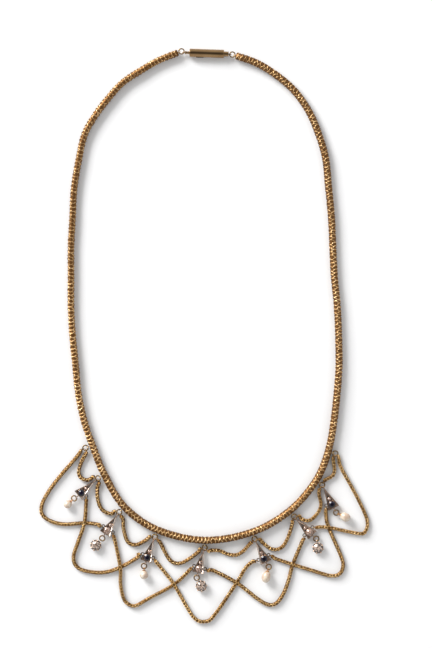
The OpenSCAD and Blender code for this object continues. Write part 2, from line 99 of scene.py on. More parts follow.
# Swags: angle on the ring where each starts, its route, and the angle where it ends
SWAGS: tuple[tuple[float, tuple[Point, ...], float], ...] = (
    (275, ((-41.5, -43), (-42.4, -46), (-41.9, -48), (-40.2, -49), (-38.6, -48.8)), 165),
    (283, ((-36, -51.5), (-36.1, -54.5), (-35.4, -57.5), (-34.3, -59.3), (-32.5, -60.3),
           (-31, -60.5)), 172),
    (298, ((-27.3, -62.5), (-27.2, -65.5), (-25.8, -70), (-23, -71.1), (-20, -69.8),
           (-18.5, -68.6)), 178),
    (314, ((-14.5, -70.7), (-12.8, -74.2), (-10.8, -76.8), (-8, -77.4), (-5, -76),
           (-1.5, -73.3)), 195),
    (318, ((2.7, -73), (5.5, -73.1), (8, -74.2), (11, -74.6), (13.5, -73.3), (15.8, -70.7)), 228),
    (355, ((20, -70.2), (22.5, -72.2), (25, -72.7), (27.3, -71.3), (29.2, -67.5), (30.2, -64)), 250),
    (8, ((33, -62), (35, -62.9), (37, -62.3), (39.2, -59.8), (40, -57.3), (39.3, -54),
         (39.4, -52.5)), 240),
    (60, ((42.2, -48.6), (44, -47.6), (44.6, -45.5), (44.3, -43.5)), 245),
)

# Festoons: the same, each end on a setting's side eye, or on the first or last hanger ring
FESTOONS: tuple[tuple[float, tuple[Point, ...], float], ...] = (
    (215, ((-43.5, -41.7), (-48.8, -47.8), (-52.8, -53.2), (-55, -57.7), (-54.7, -61),
           (-51.5, -63.2), (-47, -64.1), CROSSINGS[0], (-35.5, -64.2)), 176),
    (268, ((-40, -58), CROSSINGS[0], (-42.6, -70), (-44.2, -75), (-43.3, -78.3), (-40, -80),
           (-34, -80.5), CROSSINGS[1], (-22.3, -75.3)), 186),
    (280, ((-30, -70.3), CROSSINGS[1], (-28.2, -84.5), (-27.2, -89.3), (-25.5, -91.3),
           (-23, -91.8), (-18.5, -89.3), CROSSINGS[2], (-4.5, -79.5)), 222),
    (306, ((-14.5, -78.8), CROSSINGS[2], (-5.2, -93), (-2.5, -96.5), (0.5, -97.2), (3.5, -95.3),
           CROSSINGS[3], (14.3, -79), (16.8, -76.7)), 200),
    (333, ((3.3, -79.8), CROSSINGS[3], (18.5, -89.5), (22.3, -91.5), (25, -90.8), (27.3, -87.5),
           (29, -83), CROSSINGS[4], (33.8, -69.5)), 260),
    (338, ((24.5, -75.8), CROSSINGS[4], (37.5, -80), (43, -81.6), (46, -81.2), (47.4, -79),
           (47, -75.5), CROSSINGS[5], (41.7, -61)), 268),
    (354, ((39, -65.1), CROSSINGS[5], (53, -67.3), (55.2, -66.3), (55.8, -63.5), (54.5, -59.5),
           (51, -52.5), (46.8, -44.8)), 308),
)


class Drop(Enum):
    """What hangs below a setting."""

    PEARL = "pearl"
    CLAW = "claw"


@dataclass(frozen=True)
class Plan:
    """Where a setting hangs, where it points and what hangs below it.

    Attributes:
        ring: The hanger ring that holds it, counted from 1.
        at: Angle on that ring where it holds, in degrees.
        way: The direction that it points, in degrees.
        ring_way: The direction from its lower loop to its drop ring's middle, in degrees.
        drop_way: The direction that its drop hangs, in degrees.
        drop: What hangs below it.
        pearl_width: A pearl's width against the usual width.
        pearl_length: A pearl's length against the usual width.
        polish_and_painted_light: Painted light on the side walls, right and left of the way that it
            points: a painted highlight on the brighter wall and painted shade on the darker one.
    """

    ring: int
    at: float
    way: float
    ring_way: float
    drop_way: float
    drop: Drop
    pearl_width: float
    pearl_length: float
    polish_and_painted_light: Point


# The last pair of each plan paints light on the setting's side walls: a highlight on the brighter wall,
# shade on the darker one
PLANS: tuple[Plan, ...] = (
    Plan(2, 224, 221, 206, 223, Drop.PEARL, 0.9, 0.95, (0.5, 0.95)),
    Plan(3, 236, 237, 238, 227, Drop.CLAW, 0, 0, (0.5, 1)),
    Plan(4, 248, 250, 246, 270, Drop.PEARL, 0.95, 1, (0.45, 1)),
    Plan(5, 256, 255, 255, 299, Drop.CLAW, 0, 0, (0.5, 1)),
    Plan(6, 293, 296, 308, 256, Drop.PEARL, 1, 1.35, (0.95, 0.5)),
    Plan(7, 308, 315, 321, 280, Drop.CLAW, 0, 0, (0.55, 0.8)),
    Plan(8, 298, 297, 298, 334, Drop.PEARL, 1, 1.25, (0.5, 0.6)),
)


def toward(angle: float) -> np.ndarray:
    """A flat unit vector at an angle in degrees."""
    return np.array([math.cos(math.radians(angle)), math.sin(math.radians(angle))])


def way_of(v: Sequence[float]) -> float:
    """The angle of a flat vector, in degrees."""
    return math.degrees(math.atan2(v[1], v[0]))


def full_turn(count: int) -> np.ndarray:
    """Even steps round a circle, in radians."""
    return np.arange(count) * 2 * math.pi / count


def unit_rows(rows: np.ndarray) -> np.ndarray:
    """Rows of numbers, each as a vector of length 1."""
    return rows / np.linalg.norm(rows, axis=1, keepdims=True)


def flat_spin(points: np.ndarray, angle: float) -> np.ndarray:
    """Points turned about the vertical.

    Args:
        points: Rows of two or three numbers.
        angle: The turn in degrees.

    Returns:
        The turned rows.
    """
    c, s = toward(angle)
    out = np.array(points, dtype=float)
    out[..., 0] = points[..., 0] * c - points[..., 1] * s
    out[..., 1] = points[..., 0] * s + points[..., 1] * c
    return out


def main_way(at: int) -> float:
    """The main chain's direction at one of its route's points, in degrees."""
    return way_of(np.subtract(MAIN_ROUTE[at + 1], MAIN_ROUTE[at - 1]))


def hanger(i: int) -> np.ndarray:
    """The middle of hanger ring i, counted from 1."""
    at = FIRST_HANGER + i - 1
    return np.array(MAIN_ROUTE[at]) + HANG_OUT * toward(main_way(at) - 90)


def smooth_curve(points: np.ndarray, gap: float) -> np.ndarray:
    """A smooth curve through points, by the rule that the frame's tubes follow.

    Args:
        points: The route's points.
        gap: The longest step between two points of the result.

    Returns:
        The curve's points.
    """
    padded = np.concatenate([points[:1], points, points[-1:]])
    curve = []
    for a, b, c, d in zip(padded, padded[1:], padded[2:], padded[3:]):
        steps = math.ceil(np.linalg.norm(c - b) / gap)
        for t in np.arange(steps) / steps:
            bend = (2 * a - 5 * b + 4 * c - d) * t**2 + (3 * b - a - 3 * c + d) * t**3
            curve.append((2 * b + (c - a) * t + bend) / 2)
    curve.append(points[-1])
    return np.array(curve)


def run_along(points: np.ndarray) -> np.ndarray:
    """The distance of each point of a line from its first one, along the line."""
    return np.concatenate([[0], np.cumsum(np.linalg.norm(np.diff(points, axis=0), axis=1))])


@dataclass
class Solid:
    """A mesh in the making.

    Attributes:
        points: Its points in millimetres.
        faces: The points of each face.
        crest: How proud each point stands, from 0 in the hollows to 1.
    """

    points: np.ndarray
    faces: list[tuple[int, ...]]
    crest: np.ndarray

    @staticmethod
    def proud(points: np.ndarray, faces: list[tuple[int, ...]]) -> "Solid":
        """A solid whose points all stand fully proud."""
        return Solid(points, faces, np.ones(len(points)))

    @staticmethod
    def joined(parts: Iterable["Solid"]) -> "Solid":
        """One solid made of several, side by side.

        Args:
            parts: The solids to join.

        Returns:
            The joined solid.
        """
        points, faces, crest, base = [], [], [], 0
        for part in parts:
            points.append(part.points)
            crest.append(part.crest)
            faces.extend(tuple(v + base for v in face) for face in part.faces)
            base += len(part.points)
        return Solid(np.concatenate(points), faces, np.concatenate(crest))

    def moved(self, at: Sequence[float], way: float = 0.0) -> "Solid":
        """The solid turned about the vertical, then moved.

        Args:
            at: Where its own origin goes.
            way: The direction that its own +X takes, in degrees.

        Returns:
            The placed solid.
        """
        return Solid(flat_spin(self.points, way) + np.array(at), self.faces, self.crest)

    def worn(self, crest: float) -> "Solid":
        """The same solid with one crest all over."""
        return Solid(self.points, self.faces, np.full(len(self.points), crest))

    def piece(self, name: str, material: bpy.types.Material, stands_for: Sequence[str],
              slot: str, smooth: bool = True) -> bpy.types.Object:
        """Makes the Blender object, riding on the necklace.

        Args:
            name: The piece's name.
            material: Its finish.
            stands_for: The frame's nodes that it replaces.
            slot: The record's slot; not used.
            smooth: Whether its faces shade smoothly.

        Returns:
            The new object.
        """
        mesh = bpy.data.meshes.new(name)
        mesh.from_pydata((self.points * MM).tolist(), [], self.faces)
        face_outwards(mesh)
        mesh.attributes.new(CREST, "FLOAT", "POINT").data.foreach_set("value", self.crest)
        mesh.polygons.foreach_set("use_smooth", [smooth] * len(mesh.polygons))
        mesh.materials.append(material)
        mesh.update()
        piece = bpy.data.objects.new(name, mesh)
        bpy.context.scene.collection.objects.link(piece)
        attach(piece, BODY)
        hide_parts(*stands_for)
        LOG.info("%s: %d faces", name, len(self.faces))
        return piece


def face_outwards(mesh: bpy.types.Mesh) -> None:
    """Turns every face of closed shells outwards.

    Args:
        mesh: The shells, which are changed.
    """
    shells = bmesh.new()
    shells.from_mesh(mesh)
    bmesh.ops.recalc_face_normals(shells, faces=shells.faces)
    shells.to_mesh(mesh)
    shells.free()


def closed_tube(centres: np.ndarray, normals: np.ndarray, radius: float, sides: int) -> Solid:
    """A wire of round section along a closed line.

    Args:
        centres: Points of the closed line.
        normals: A vector across the line at each point.
        radius: The wire's radius.
        sides: Sides of its section.

    Returns:
        The wire.
    """
    ahead = unit_rows(np.roll(centres, -1, 0) - np.roll(centres, 1, 0))
    across = unit_rows(normals - (normals * ahead).sum(1, keepdims=True) * ahead)
    up = np.cross(ahead, across)
    turn = full_turn(sides)
    points = (
        centres[:, None]
        + radius * np.cos(turn)[None, :, None] * across[:, None]
        + radius * np.sin(turn)[None, :, None] * up[:, None]
    ).reshape(-1, 3)
    return Solid.proud(points, grid_faces(len(centres), sides, True))


def grid_faces(rows: int, columns: int, closed: bool = False) -> list[tuple[int, ...]]:
    """Quads over rows of points, each row a closed ring.

    Args:
        rows: How many rows there are.
        columns: Points in a row.
        closed: Whether the last row joins the first.

    Returns:
        The quads.
    """
    last = rows if closed else rows - 1
    return [
        (i * columns + s, i * columns + (s + 1) % columns,
         (i + 1) % rows * columns + (s + 1) % columns, (i + 1) % rows * columns + s)
        for i in range(last) for s in range(columns)
    ]


def end_faces(rows: int, columns: int) -> list[tuple[int, ...]]:
    """The two faces that close the first and the last of some rows of points."""
    return [tuple(range(columns))[::-1], tuple(range((rows - 1) * columns, rows * columns))]


def flipped(faces: Iterable[tuple[int, ...]]) -> list[tuple[int, ...]]:
    """The same faces, seen from their other side."""
    return [face[::-1] for face in faces]


def turned_rows(outline: Sequence[Point], sides: int) -> np.ndarray:
    """Rings of points round the vertical.

    Args:
        outline: Radius and height of each ring.
        sides: Points round each.

    Returns:
        The points, ring after ring.
    """
    turn = full_turn(sides)
    return np.concatenate([
        np.column_stack([r * np.cos(turn), r * np.sin(turn), np.full(sides, z)]) for r, z in outline])


def turned_form(outline: Sequence[Point], sides: int, closed: bool = False) -> Solid:
    """A form turned about the vertical.

    Args:
        outline: Radius and height of each row, from the bottom outside upwards.
        sides: Points round it.
        closed: Whether the last row joins the first, as on a ring. The ends are capped if not.

    Returns:
        The turned form.
    """
    faces = grid_faces(len(outline), sides, closed)
    if not closed:
        faces += end_faces(len(outline), sides)
    return Solid.proud(turned_rows(outline, sides), faces)


def laid_down(solid: Solid, lean: float = 0.0) -> Solid:
    """A turned form laid with its axis along +X, its free end leaning upwards.

    Args:
        solid: The form, its axis upright.
        lean: The lean in degrees.

    Returns:
        The laid form.
    """
    x, y, z = solid.points.T
    c, s = toward(lean)
    points = np.column_stack([z * c + x * s, y, z * s - x * c])
    return Solid(points, solid.faces, solid.crest)


def flat_torus(radius: float, wire: float, steps: int, sides: int) -> Solid:
    """A ring of round wire that lies flat about the origin.

    Args:
        radius: The ring's mean radius.
        wire: Thickness of its wire.
        steps: Points round the ring.
        sides: Sides of the wire's section.

    Returns:
        The ring.
    """
    turn = full_turn(steps)
    out = np.column_stack([np.cos(turn), np.sin(turn), np.zeros(steps)])
    return closed_tube(out * radius, out, wire / 2, sides)


def upright_loop(at: Sequence[float], angle: float, z: float) -> Solid:
    """A small round loop that stands upright round a ring's wire.

    Args:
        at: The flat place of its middle.
        angle: The direction that its plane holds, in degrees.
        z: The height of its middle.

    Returns:
        The loop.
    """
    ring = flat_torus(LOOP_R, LOOP_WIRE, steps=26, sides=8)
    x, y, up = ring.points.T
    return Solid(np.column_stack([x, up, y]), ring.faces, ring.crest).moved((at[0], at[1], z), angle)


def stem(start: float, end: float, radius: float) -> Solid:
    """A short round bar along +X at the rings' height."""
    bar = laid_down(turned_form(((radius, start), (radius, end)), sides=12))
    return bar.moved((0, 0, RING_Z))


@dataclass(frozen=True)
class RingHold:
    """A place on a ring's wire that a loop holds.

    Attributes:
        middle: The ring's middle.
        radius: The ring's mean radius.
        angle: The angle on the ring, in degrees.
    """

    middle: np.ndarray
    radius: float
    angle: float

    def out(self, far: float) -> np.ndarray:
        """The place this far outside the wire's middle."""
        return self.middle + (self.radius + far) * toward(self.angle)


class Line:
    """A line on the surface with its height, which links are laid along.

    Attributes:
        points: Its points in millimetres.
        at: Each point's distance along it.
        length: Its length.
        ahead: Its flat direction at each point.
    """

    def __init__(self, points: np.ndarray) -> None:
        """Measures the line.

        Args:
            points: Points of the line in millimetres, three numbers each.
        """
        self.points = points
        self.at = run_along(points)
        self.length = float(self.at[-1])
        self.ahead = unit_rows(np.gradient(points[:, :2], axis=0))

    def place(self, local: np.ndarray) -> np.ndarray:
        """Bends points onto the line.

        Args:
            local: Distance along the line, distance to its left and height, for each point.

        Returns:
            The points on the surface's own axes.
        """
        run, left, up = local.T
        ahead = unit_rows(np.column_stack([np.interp(run, self.at, self.ahead[:, k]) for k in (0, 1)]))
        base = np.column_stack([np.interp(run, self.at, self.points[:, k]) for k in (0, 1, 2)])
        over = run - np.clip(run, 0, self.length)
        side = np.column_stack([-ahead[:, 1], ahead[:, 0]])
        flat = base[:, :2] + left[:, None] * side + over[:, None] * ahead
        return np.column_stack([flat, base[:, 2] + up])

    def sleeve(self, outline: Sequence[Point], sides: int, crest: float) -> Solid:
        """A round form along the line.

        Args:
            outline: Distance along the line and radius of each row.
            sides: Points round it.
            crest: The crest of all its points.

        Returns:
            The form, capped at both ends.
        """
        rings = turned_rows([(radius, along) for along, radius in outline], sides)
        points = self.place(rings[:, [2, 0, 1]])
        faces = grid_faces(len(outline), sides) + end_faces(len(outline), sides)
        return Solid(points, faces, np.full(len(points), crest))


@dataclass(frozen=True)
class Lap:
    """A half-lap where this chain crosses another.

    Attributes:
        middle: Where the two chains cross.
        upper: Whether this chain keeps the upper half.
    """

    middle: Point
    upper: bool


@dataclass(frozen=True)
class Weave:
    """A loop-in-loop weave: each link is a wire ring pinched in the middle and folded forwards.

    Attributes:
        width: Width and height of the chain.
        pitch: Distance from one link to the next, which is turned by a quarter.
        wire: Thickness of the wire.
        steps: Points round a link.
        sides: Sides of the wire's section.
    """

    width: float
    pitch: float
    wire: float
    steps: int
    sides: int

    # Half of a link from its pinched middle to a lobe's tip: share of the way, distance along in
    # pitches, turn about the chain from the lobe's middle in degrees, and share of the way out
    SHARE = (0.0, 0.15, 0.35, 0.55, 0.75, 0.9, 1.0)
    ALONG = (0.0, 0.15, 0.5, 0.9, 1.3, 1.52, 1.6)
    TURN = (90.0, 78.0, 68.0, 50.0, 32.0, 16.0, 0.0)
    OUT = (0.35, 0.65, 0.9, 1.0, 1.0, 0.98, 0.92)

    # The core inside the links, coloured dark as painted shade between them: its width against the
    # chain's, its sides and its crest
    CORE = 0.82
    CORE_SIDES = 12
    CORE_PAINTED_SHADE = 0.1

    # The cap at each end: its length against half the chain's width, its radius against the whole,
    # places along it with their radii in shares of those two, its sides and its crest
    CAP_LENGTH = 1.1
    CAP_RADIUS = 0.4
    CAP = ((-0.05, 0.35), (0.0, 0.62), (0.25, 0.9), (0.7, 1.0), (1.0, 1.0), (1.0, 0.7))
    CAP_SIDES = 14
    CAP_CREST = 0.5

    # A half-lap: the chain's height there, and how far from it the chain is fully pressed and no
    # longer pressed, in widths of the chain
    LAP_HEIGHT = 0.62
    LAP_NEAR = 0.55
    LAP_FAR = 1.6

    # Unevenness of the links: turn in degrees, place in pitches, and shine
    UNEVEN = (20.0, 0.25, 0.25)

    # Share of the chain's radius below which the wire is coloured as its hollows, partly for patina and
    # partly as painted shade between the links
    HOLLOW = 0.45

    # Painted shade on the chain's sides: crest taken off from the top down to the chain's middle height,
    # so the sides are coloured darker than the top
    SIDES_PAINTED_SHADE = 0.28

    def link(self) -> Solid:
        """One link, its pinched middle at x = 0 and its lobes forward, above and below.

        Returns:
            The link, about the chain's middle line.
        """
        half = self.width / 2
        round_it = (np.arange(self.steps) + 0.5) * 2 * math.pi / self.steps
        share = 1 - np.abs((round_it + math.pi / 2) % math.pi - math.pi / 2) * 2 / math.pi
        turn = np.radians(np.interp(share, self.SHARE, self.TURN))
        turn = np.sign(np.sin(round_it)) * np.where(np.cos(round_it) > 0, turn, math.pi - turn)
        along = self.pitch * np.interp(share, self.SHARE, self.ALONG)
        out = (half - self.wire / 2) * np.interp(share, self.SHARE, self.OUT)
        outwards = np.column_stack([np.zeros(self.steps), np.sin(turn), np.cos(turn)])
        centres = out[:, None] * outwards + np.column_stack([along, 0 * along, 0 * along])
        link = closed_tube(centres, outwards, self.wire / 2, self.sides)
        # Painted shade in part: the nearer the wire lies to the chain's middle, the lower its crest and
        # the darker its colour, partly patina and partly the shade between the links
        far_out = np.hypot(link.points[:, 1], link.points[:, 2]) / half
        crest = np.clip((far_out - self.HOLLOW) / (1 - self.HOLLOW), 0, 1)
        return Solid(link.points, link.faces, crest)

    def lay(self, line: Line, roll: Callable[[float], float], seed: int,
            laps: Sequence[Lap] = (), dulled: Callable[[float], float] = lambda share: 0.0) -> Solid:
        """Lays links along a line from end to end, round a core painted dark as the shade inside the
        weave, and between two caps.

        Args:
            line: The chain's middle line.
            roll: The chain's turn about its middle in degrees, from the share of its length.
            seed: Seed of the links' unevenness.
            laps: Half-laps with other chains.
            dulled: How much darker the links' hollows are coloured, from the share of the chain's length.

        Returns:
            The whole woven chain as one solid.
        """
        link = self.link()
        reach = self.ALONG[-1] * self.pitch + self.wire / 2
        count = int((line.length - reach) / self.pitch)
        gap = (line.length - reach) / count
        x, y, z = link.points.T
        uneven = np.random.default_rng(seed).uniform(-1, 1, (count + 1, 3)) * self.UNEVEN
        parts = []
        for k, (turn, slide, shine) in enumerate(uneven):
            c, s = toward(90 * k + roll(k / count) + turn)
            local = np.column_stack([x + (k + slide) * gap, y * c - z * s, y * s + z * c])
            dull = abs(shine) + dulled(k / count) * (1 - link.crest)
            # Painted shade: points lose crest the lower they lie below the chain's top, down to its
            # middle height
            dull += self.SIDES_PAINTED_SHADE * np.clip(1 - 2 * local[:, 2] / self.width, 0, 1)
            parts.append(Solid(line.place(local), link.faces, link.crest - dull))
        parts += self._inside(line)
        woven = Solid.joined(parts)
        for lap in laps:
            self._press(woven.points, lap)
        return woven

    def _inside(self, line: Line) -> list[Solid]:
        """The core, painted dark as the shade inside the weave, and the cap at each end that gathers the
        links.

        Args:
            line: The chain's middle line.

        Returns:
            The core and the two caps.
        """
        core_r = self.CORE * self.width / 2
        rows = max(2, int(line.length / self.width))
        core = [(line.length * i / rows, core_r) for i in range(rows + 1)]
        cap_r = self.CAP_RADIUS * self.width
        start = [(along * self.CAP_LENGTH * self.width / 2, share * cap_r) for along, share in self.CAP]
        end = [(line.length - along, r) for along, r in start][::-1]
        return [
            line.sleeve(core, self.CORE_SIDES, self.CORE_PAINTED_SHADE),
            line.sleeve(start, self.CAP_SIDES, self.CAP_CREST),
            line.sleeve(end, self.CAP_SIDES, self.CAP_CREST),
        ]

    def _press(self, points: np.ndarray, lap: Lap) -> None:
        """Presses a chain flat where it crosses another, and lays it over or under it.

        Args:
            points: The chain's points, which are changed.
            lap: The half-lap.
        """
        near, far = self.LAP_NEAR * self.width, self.LAP_FAR * self.width
        away = np.hypot(points[:, 0] - lap.middle[0], points[:, 1] - lap.middle[1])
        share = np.clip((far - away) / (far - near), 0, 1)
        height = 1 - (1 - self.LAP_HEIGHT) * share * share * (3 - 2 * share)
        lift = self.width * (1 - height) if lap.upper else 0
        points[:, 2] = points[:, 2] * height + lift


@dataclass(frozen=True)
class Shades:
    """The colours of a worn metal.

    Attributes:
        bright: Its polished crests.
        middle: What lies between.
        deep: Its darkest hollows.
    """

    bright: Colour
    middle: Colour
    deep: Colour


class Nodes:
    """Adds shader nodes to one tree and wires them.

    Attributes:
        tree: The node tree.
    """

    def __init__(self, tree: bpy.types.NodeTree) -> None:
        """Starts on a tree, which is emptied.

        Args:
            tree: The node tree.
        """
        self.tree = tree
        tree.nodes.clear()

    def add(self, kind: str, settings: dict[str, object] | None = None,
            inputs: dict[object, object] | None = None) -> bpy.types.Node:
        """Adds a node.

        Args:
            kind: The node's type.
            settings: Its own options.
            inputs: Its sockets, each with a value or with the output that feeds it.

        Returns:
            The new node.
        """
        node = self.tree.nodes.new(kind)
        for name, value in (settings or {}).items():
            setattr(node, name, value)
        for socket, value in (inputs or {}).items():
            if isinstance(value, bpy.types.NodeSocket):
                self.tree.links.new(value, node.inputs[socket])
            else:
                node.inputs[socket].default_value = value
        return node

    def grain(self, scale: bpy.types.NodeSocket, detail: float) -> bpy.types.NodeSocket:
        """Even noise over the object's own coordinates, from 0 to 1.

        Args:
            scale: Waves in a metre.
            detail: How many finer waves are laid over them.

        Returns:
            The noise.
        """
        at = self.add("ShaderNodeTexCoord").outputs["Object"]
        inputs = {"Vector": at, "Scale": scale, "Detail": detail, "Roughness": NOISE_ROUGH}
        return self.add("ShaderNodeTexNoise", inputs=inputs).outputs["Fac"]

    def ranged(self, value: bpy.types.NodeSocket, low: object, high: object,
               to_low: object = 0.0, to_high: object = 1.0) -> bpy.types.NodeSocket:
        """A value carried from one range to another, and held inside it.

        Args:
            value: The value.
            low: The value that becomes to_low.
            high: The value that becomes to_high.
            to_low: One end of the new range.
            to_high: Its other end.

        Returns:
            The carried value.
        """
        inputs = {
            "Value": value, "From Min": low, "From Max": high, "To Min": to_low, "To Max": to_high,
        }
        return self.add("ShaderNodeMapRange", {"clamp": True}, inputs).outputs["Result"]

    def maths(self, operation: str, a: object, b: object) -> bpy.types.NodeSocket:
        """One sum on two values."""
        return self.add("ShaderNodeMath", {"operation": operation}, {0: a, 1: b}).outputs[0]

    def blend(self, share: bpy.types.NodeSocket, a: object, b: object) -> bpy.types.NodeSocket:
        """Colour a where the share is 0 and colour b where it is 1.

        Args:
            share: The share of colour b.
            a: The first colour.
            b: The second colour.

        Returns:
            The blended colour.
        """
        node = self.add("ShaderNodeMix", {"data_type": "RGBA"}, {"Factor": share})
        for socket, colour in zip([s for s in node.inputs if s.type == "RGBA"], (a, b)):
            self.tree.links.new(colour, socket)
        return next(s for s in node.outputs if s.type == "RGBA")

    def hand_out(self, *values: bpy.types.NodeSocket) -> bpy.types.NodeTree:
        """Wires values, in order, to what the tree puts out, and gives the tree."""
        self.add("NodeGroupOutput", inputs=dict(enumerate(values)))
        return self.tree


def solid_colour(colour: Colour) -> tuple[float, float, float, float]:
    """A colour with full cover, as sockets want it."""
    return (*colour, 1.0)


def effect(name: str, colours: Sequence[str],
           numbers: Sequence[str]) -> tuple[Nodes, Mapping[str, bpy.types.NodeSocket]]:
    """Starts a shared node group that puts out a surface's colour, roughness and height.

    Args:
        name: The group's name.
        colours: The colours that it takes.
        numbers: The numbers that it takes.

    Returns:
        The group's node adder, and what it takes, by name.
    """
    tree = bpy.data.node_groups.new(name, "ShaderNodeTree")
    wanted = (
        ("INPUT", "NodeSocketColor", colours), ("INPUT", "NodeSocketFloat", numbers),
        ("OUTPUT", "NodeSocketColor", ("Color",)), ("OUTPUT", "NodeSocketFloat", ("Roughness", "Height")),
    )
    for side, kind, names in wanted:
        for socket in names:
            tree.interface.new_socket(name=socket, in_out=side, socket_type=kind)
    nodes = Nodes(tree)
    return nodes, nodes.add("NodeGroupInput").outputs


# Noise: how rough it is, and its detail where it is fine and where it is coarse
NOISE_ROUGH = 0.55
FINE = 4.0
COARSE = 2.0

# A worn metal: crest up to which it is deep, that of its middle shade, that from which it gets
# smoother, how far its fine marks change its roughness, and its crest where the mesh gives none
DEEP_TO = 0.35
MIDDLE_AT = 0.78
SMOOTHER_FROM = 0.4
ROUGHER = 0.4
PLAIN_CREST = 0.92

# A clouded skin: the noise between its two colours, and between its least and greatest roughness
CLOUD_EDGE = (0.42, 0.58)
GRAIN_SPAN = (0.3, 0.7)

# Strength of every bump
BUMP = 0.6


def worn_metal_effect() -> bpy.types.NodeTree:
    """Polish on what stands proud, a dark colour in the hollows, grime patches and fine scratches; on the
    woven chains the dark hollows are partly patina and partly painted shade.

    Returns:
        The node group for metals.
    """
    nodes, take = effect(
        "worn_metal", ("Bright", "Middle", "Deep"),
        ("Crest", "Grain Scale", "Patch Scale", "Tarnish", "Speckle", "Smooth", "Rough"),
    )
    grain = nodes.grain(take["Grain Scale"], FINE)
    patch = nodes.grain(take["Patch Scale"], COARSE)
    dulled = nodes.maths("MULTIPLY", nodes.maths("SUBTRACT", patch, 0.5), take["Tarnish"])
    speckle = nodes.maths("MULTIPLY", nodes.maths("SUBTRACT", grain, 0.5), take["Speckle"])
    relief = nodes.maths("ADD", nodes.maths("SUBTRACT", take["Crest"], dulled), speckle)
    low = nodes.ranged(relief, DEEP_TO, MIDDLE_AT)
    high = nodes.ranged(relief, MIDDLE_AT, 1.0)
    colour = nodes.blend(high, nodes.blend(low, take["Deep"], take["Middle"]), take["Bright"])
    polish_and_painted_light = nodes.ranged(relief, SMOOTHER_FROM, 1.0, take["Rough"], take["Smooth"])
    uneven = nodes.maths("ADD", polish_and_painted_light, nodes.maths("MULTIPLY", speckle, ROUGHER))
    return nodes.hand_out(colour, uneven, grain)


def cloudy_effect() -> bpy.types.NodeTree:
    """Soft clouds of two colours, with a fine grain for the surface.

    Returns:
        The node group for pearl, stone and paper.
    """
    nodes, take = effect(
        "cloudy", ("First", "Second"), ("Cloud Scale", "Grain Scale", "Smooth", "Rough"))
    cloud = nodes.grain(take["Cloud Scale"], COARSE)
    grain = nodes.grain(take["Grain Scale"], FINE)
    colour = nodes.blend(nodes.ranged(cloud, *CLOUD_EDGE), take["First"], take["Second"])
    uneven = nodes.ranged(grain, *GRAIN_SPAN, take["Smooth"], take["Rough"])
    return nodes.hand_out(colour, uneven, grain)


def new_material(name: str, surface: bpy.types.NodeTree, given: dict[str, object], bump: float,
                 shader: dict[str, object], relief: bool = False) -> bpy.types.Material:
    """A Principled material that takes its surface from an effect.

    Args:
        name: The material's name.
        surface: The effect's node group.
        given: What the effect takes, by name.
        bump: Depth of the bump in millimetres.
        shader: The shader's own uniform values.
        relief: Whether the effect takes its crest from the mesh.

    Returns:
        The material.
    """
    material = bpy.data.materials.new(name)
    material.use_nodes = True
    nodes = Nodes(material.node_tree)
    if relief:
        crest = nodes.add("ShaderNodeAttribute", {"attribute_name": CREST}).outputs["Fac"]
        given = {**given, "Crest": crest}
    made = nodes.add("ShaderNodeGroup", {"node_tree": surface}, given).outputs
    marks = {"Strength": BUMP, "Distance": bump * MM, "Height": made["Height"]}
    looks = {
        "Base Color": made["Color"],
        "Roughness": made["Roughness"],
        "Normal": nodes.add("ShaderNodeBump", inputs=marks).outputs["Normal"],
        **shader,
    }
    principled = nodes.add("ShaderNodeBsdfPrincipled", inputs=looks).outputs["BSDF"]
    nodes.add("ShaderNodeOutputMaterial", inputs={"Surface": principled})
    return material


@dataclass(frozen=True)
class MetalFinish:
    """A worn metal.

    Attributes:
        name: The material's name.
        shades: Its colours.
        relief: Whether the mesh says how proud each point stands.
        tarnish: How strongly dull patches show.
        smooth: Roughness of the polished places.
        rough: Roughness of the dull places.
        grain: Size of the fine marks in millimetres.
        patch: Size of the dull patches in millimetres.
        speckle: How strongly the fine marks change the colour.
        bump: Depth of the fine marks in millimetres.
    """

    name: str
    shades: Shades
    relief: bool = False
    tarnish: float = 0.6
    smooth: float = 0.2
    rough: float = 0.5
    grain: float = 0.12
    patch: float = 4.0
    speckle: float = 0.3
    bump: float = 0.008

    def material(self, effects: "Effects") -> bpy.types.Material:
        """Makes the material.

        Args:
            effects: The shared node groups.

        Returns:
            The material.
        """
        given = {
            "Crest": PLAIN_CREST,
            "Bright": solid_colour(self.shades.bright),
            "Middle": solid_colour(self.shades.middle),
            "Deep": solid_colour(self.shades.deep),
            "Grain Scale": 1 / (self.grain * MM),
            "Patch Scale": 1 / (self.patch * MM),
            "Tarnish": self.tarnish,
            "Speckle": self.speckle,
            "Smooth": self.smooth,
            "Rough": self.rough,
        }
        return new_material(
            self.name, effects.worn_metal, given, self.bump, {"Metallic": 1.0}, self.relief)


@dataclass(frozen=True)
class SkinFinish:
    """A clouded skin that isn't metal: pearl, stone or paper.

    Attributes:
        name: The material's name.
        first: Its first colour.
        second: Its second colour.
        cloud: Size of the clouds in millimetres.
        grain: Size of the fine marks in millimetres.
        smooth: Least roughness.
        rough: Greatest roughness.
        bump: Depth of the fine marks in millimetres.
        shader: The shader's own uniform values.
    """

    name: str
    first: Colour
    second: Colour
    cloud: float
    grain: float
    smooth: float
    rough: float
    bump: float
    shader: tuple[tuple[str, object], ...] = ()

    def material(self, effects: "Effects") -> bpy.types.Material:
        """Makes the material.

        Args:
            effects: The shared node groups.

        Returns:
            The material.
        """
        given = {
            "First": solid_colour(self.first),
            "Second": solid_colour(self.second),
            "Cloud Scale": 1 / (self.cloud * MM),
            "Grain Scale": 1 / (self.grain * MM),
            "Smooth": self.smooth,
            "Rough": self.rough,
        }
        return new_material(self.name, effects.cloudy, given, self.bump, dict(self.shader))


@dataclass
class Effects:
    """The node groups that the finishes share.

    Attributes:
        worn_metal: For metals.
        cloudy: For pearl, stone and paper.
    """

    worn_metal: bpy.types.NodeTree = field(default_factory=worn_metal_effect)
    cloudy: bpy.types.NodeTree = field(default_factory=cloudy_effect)
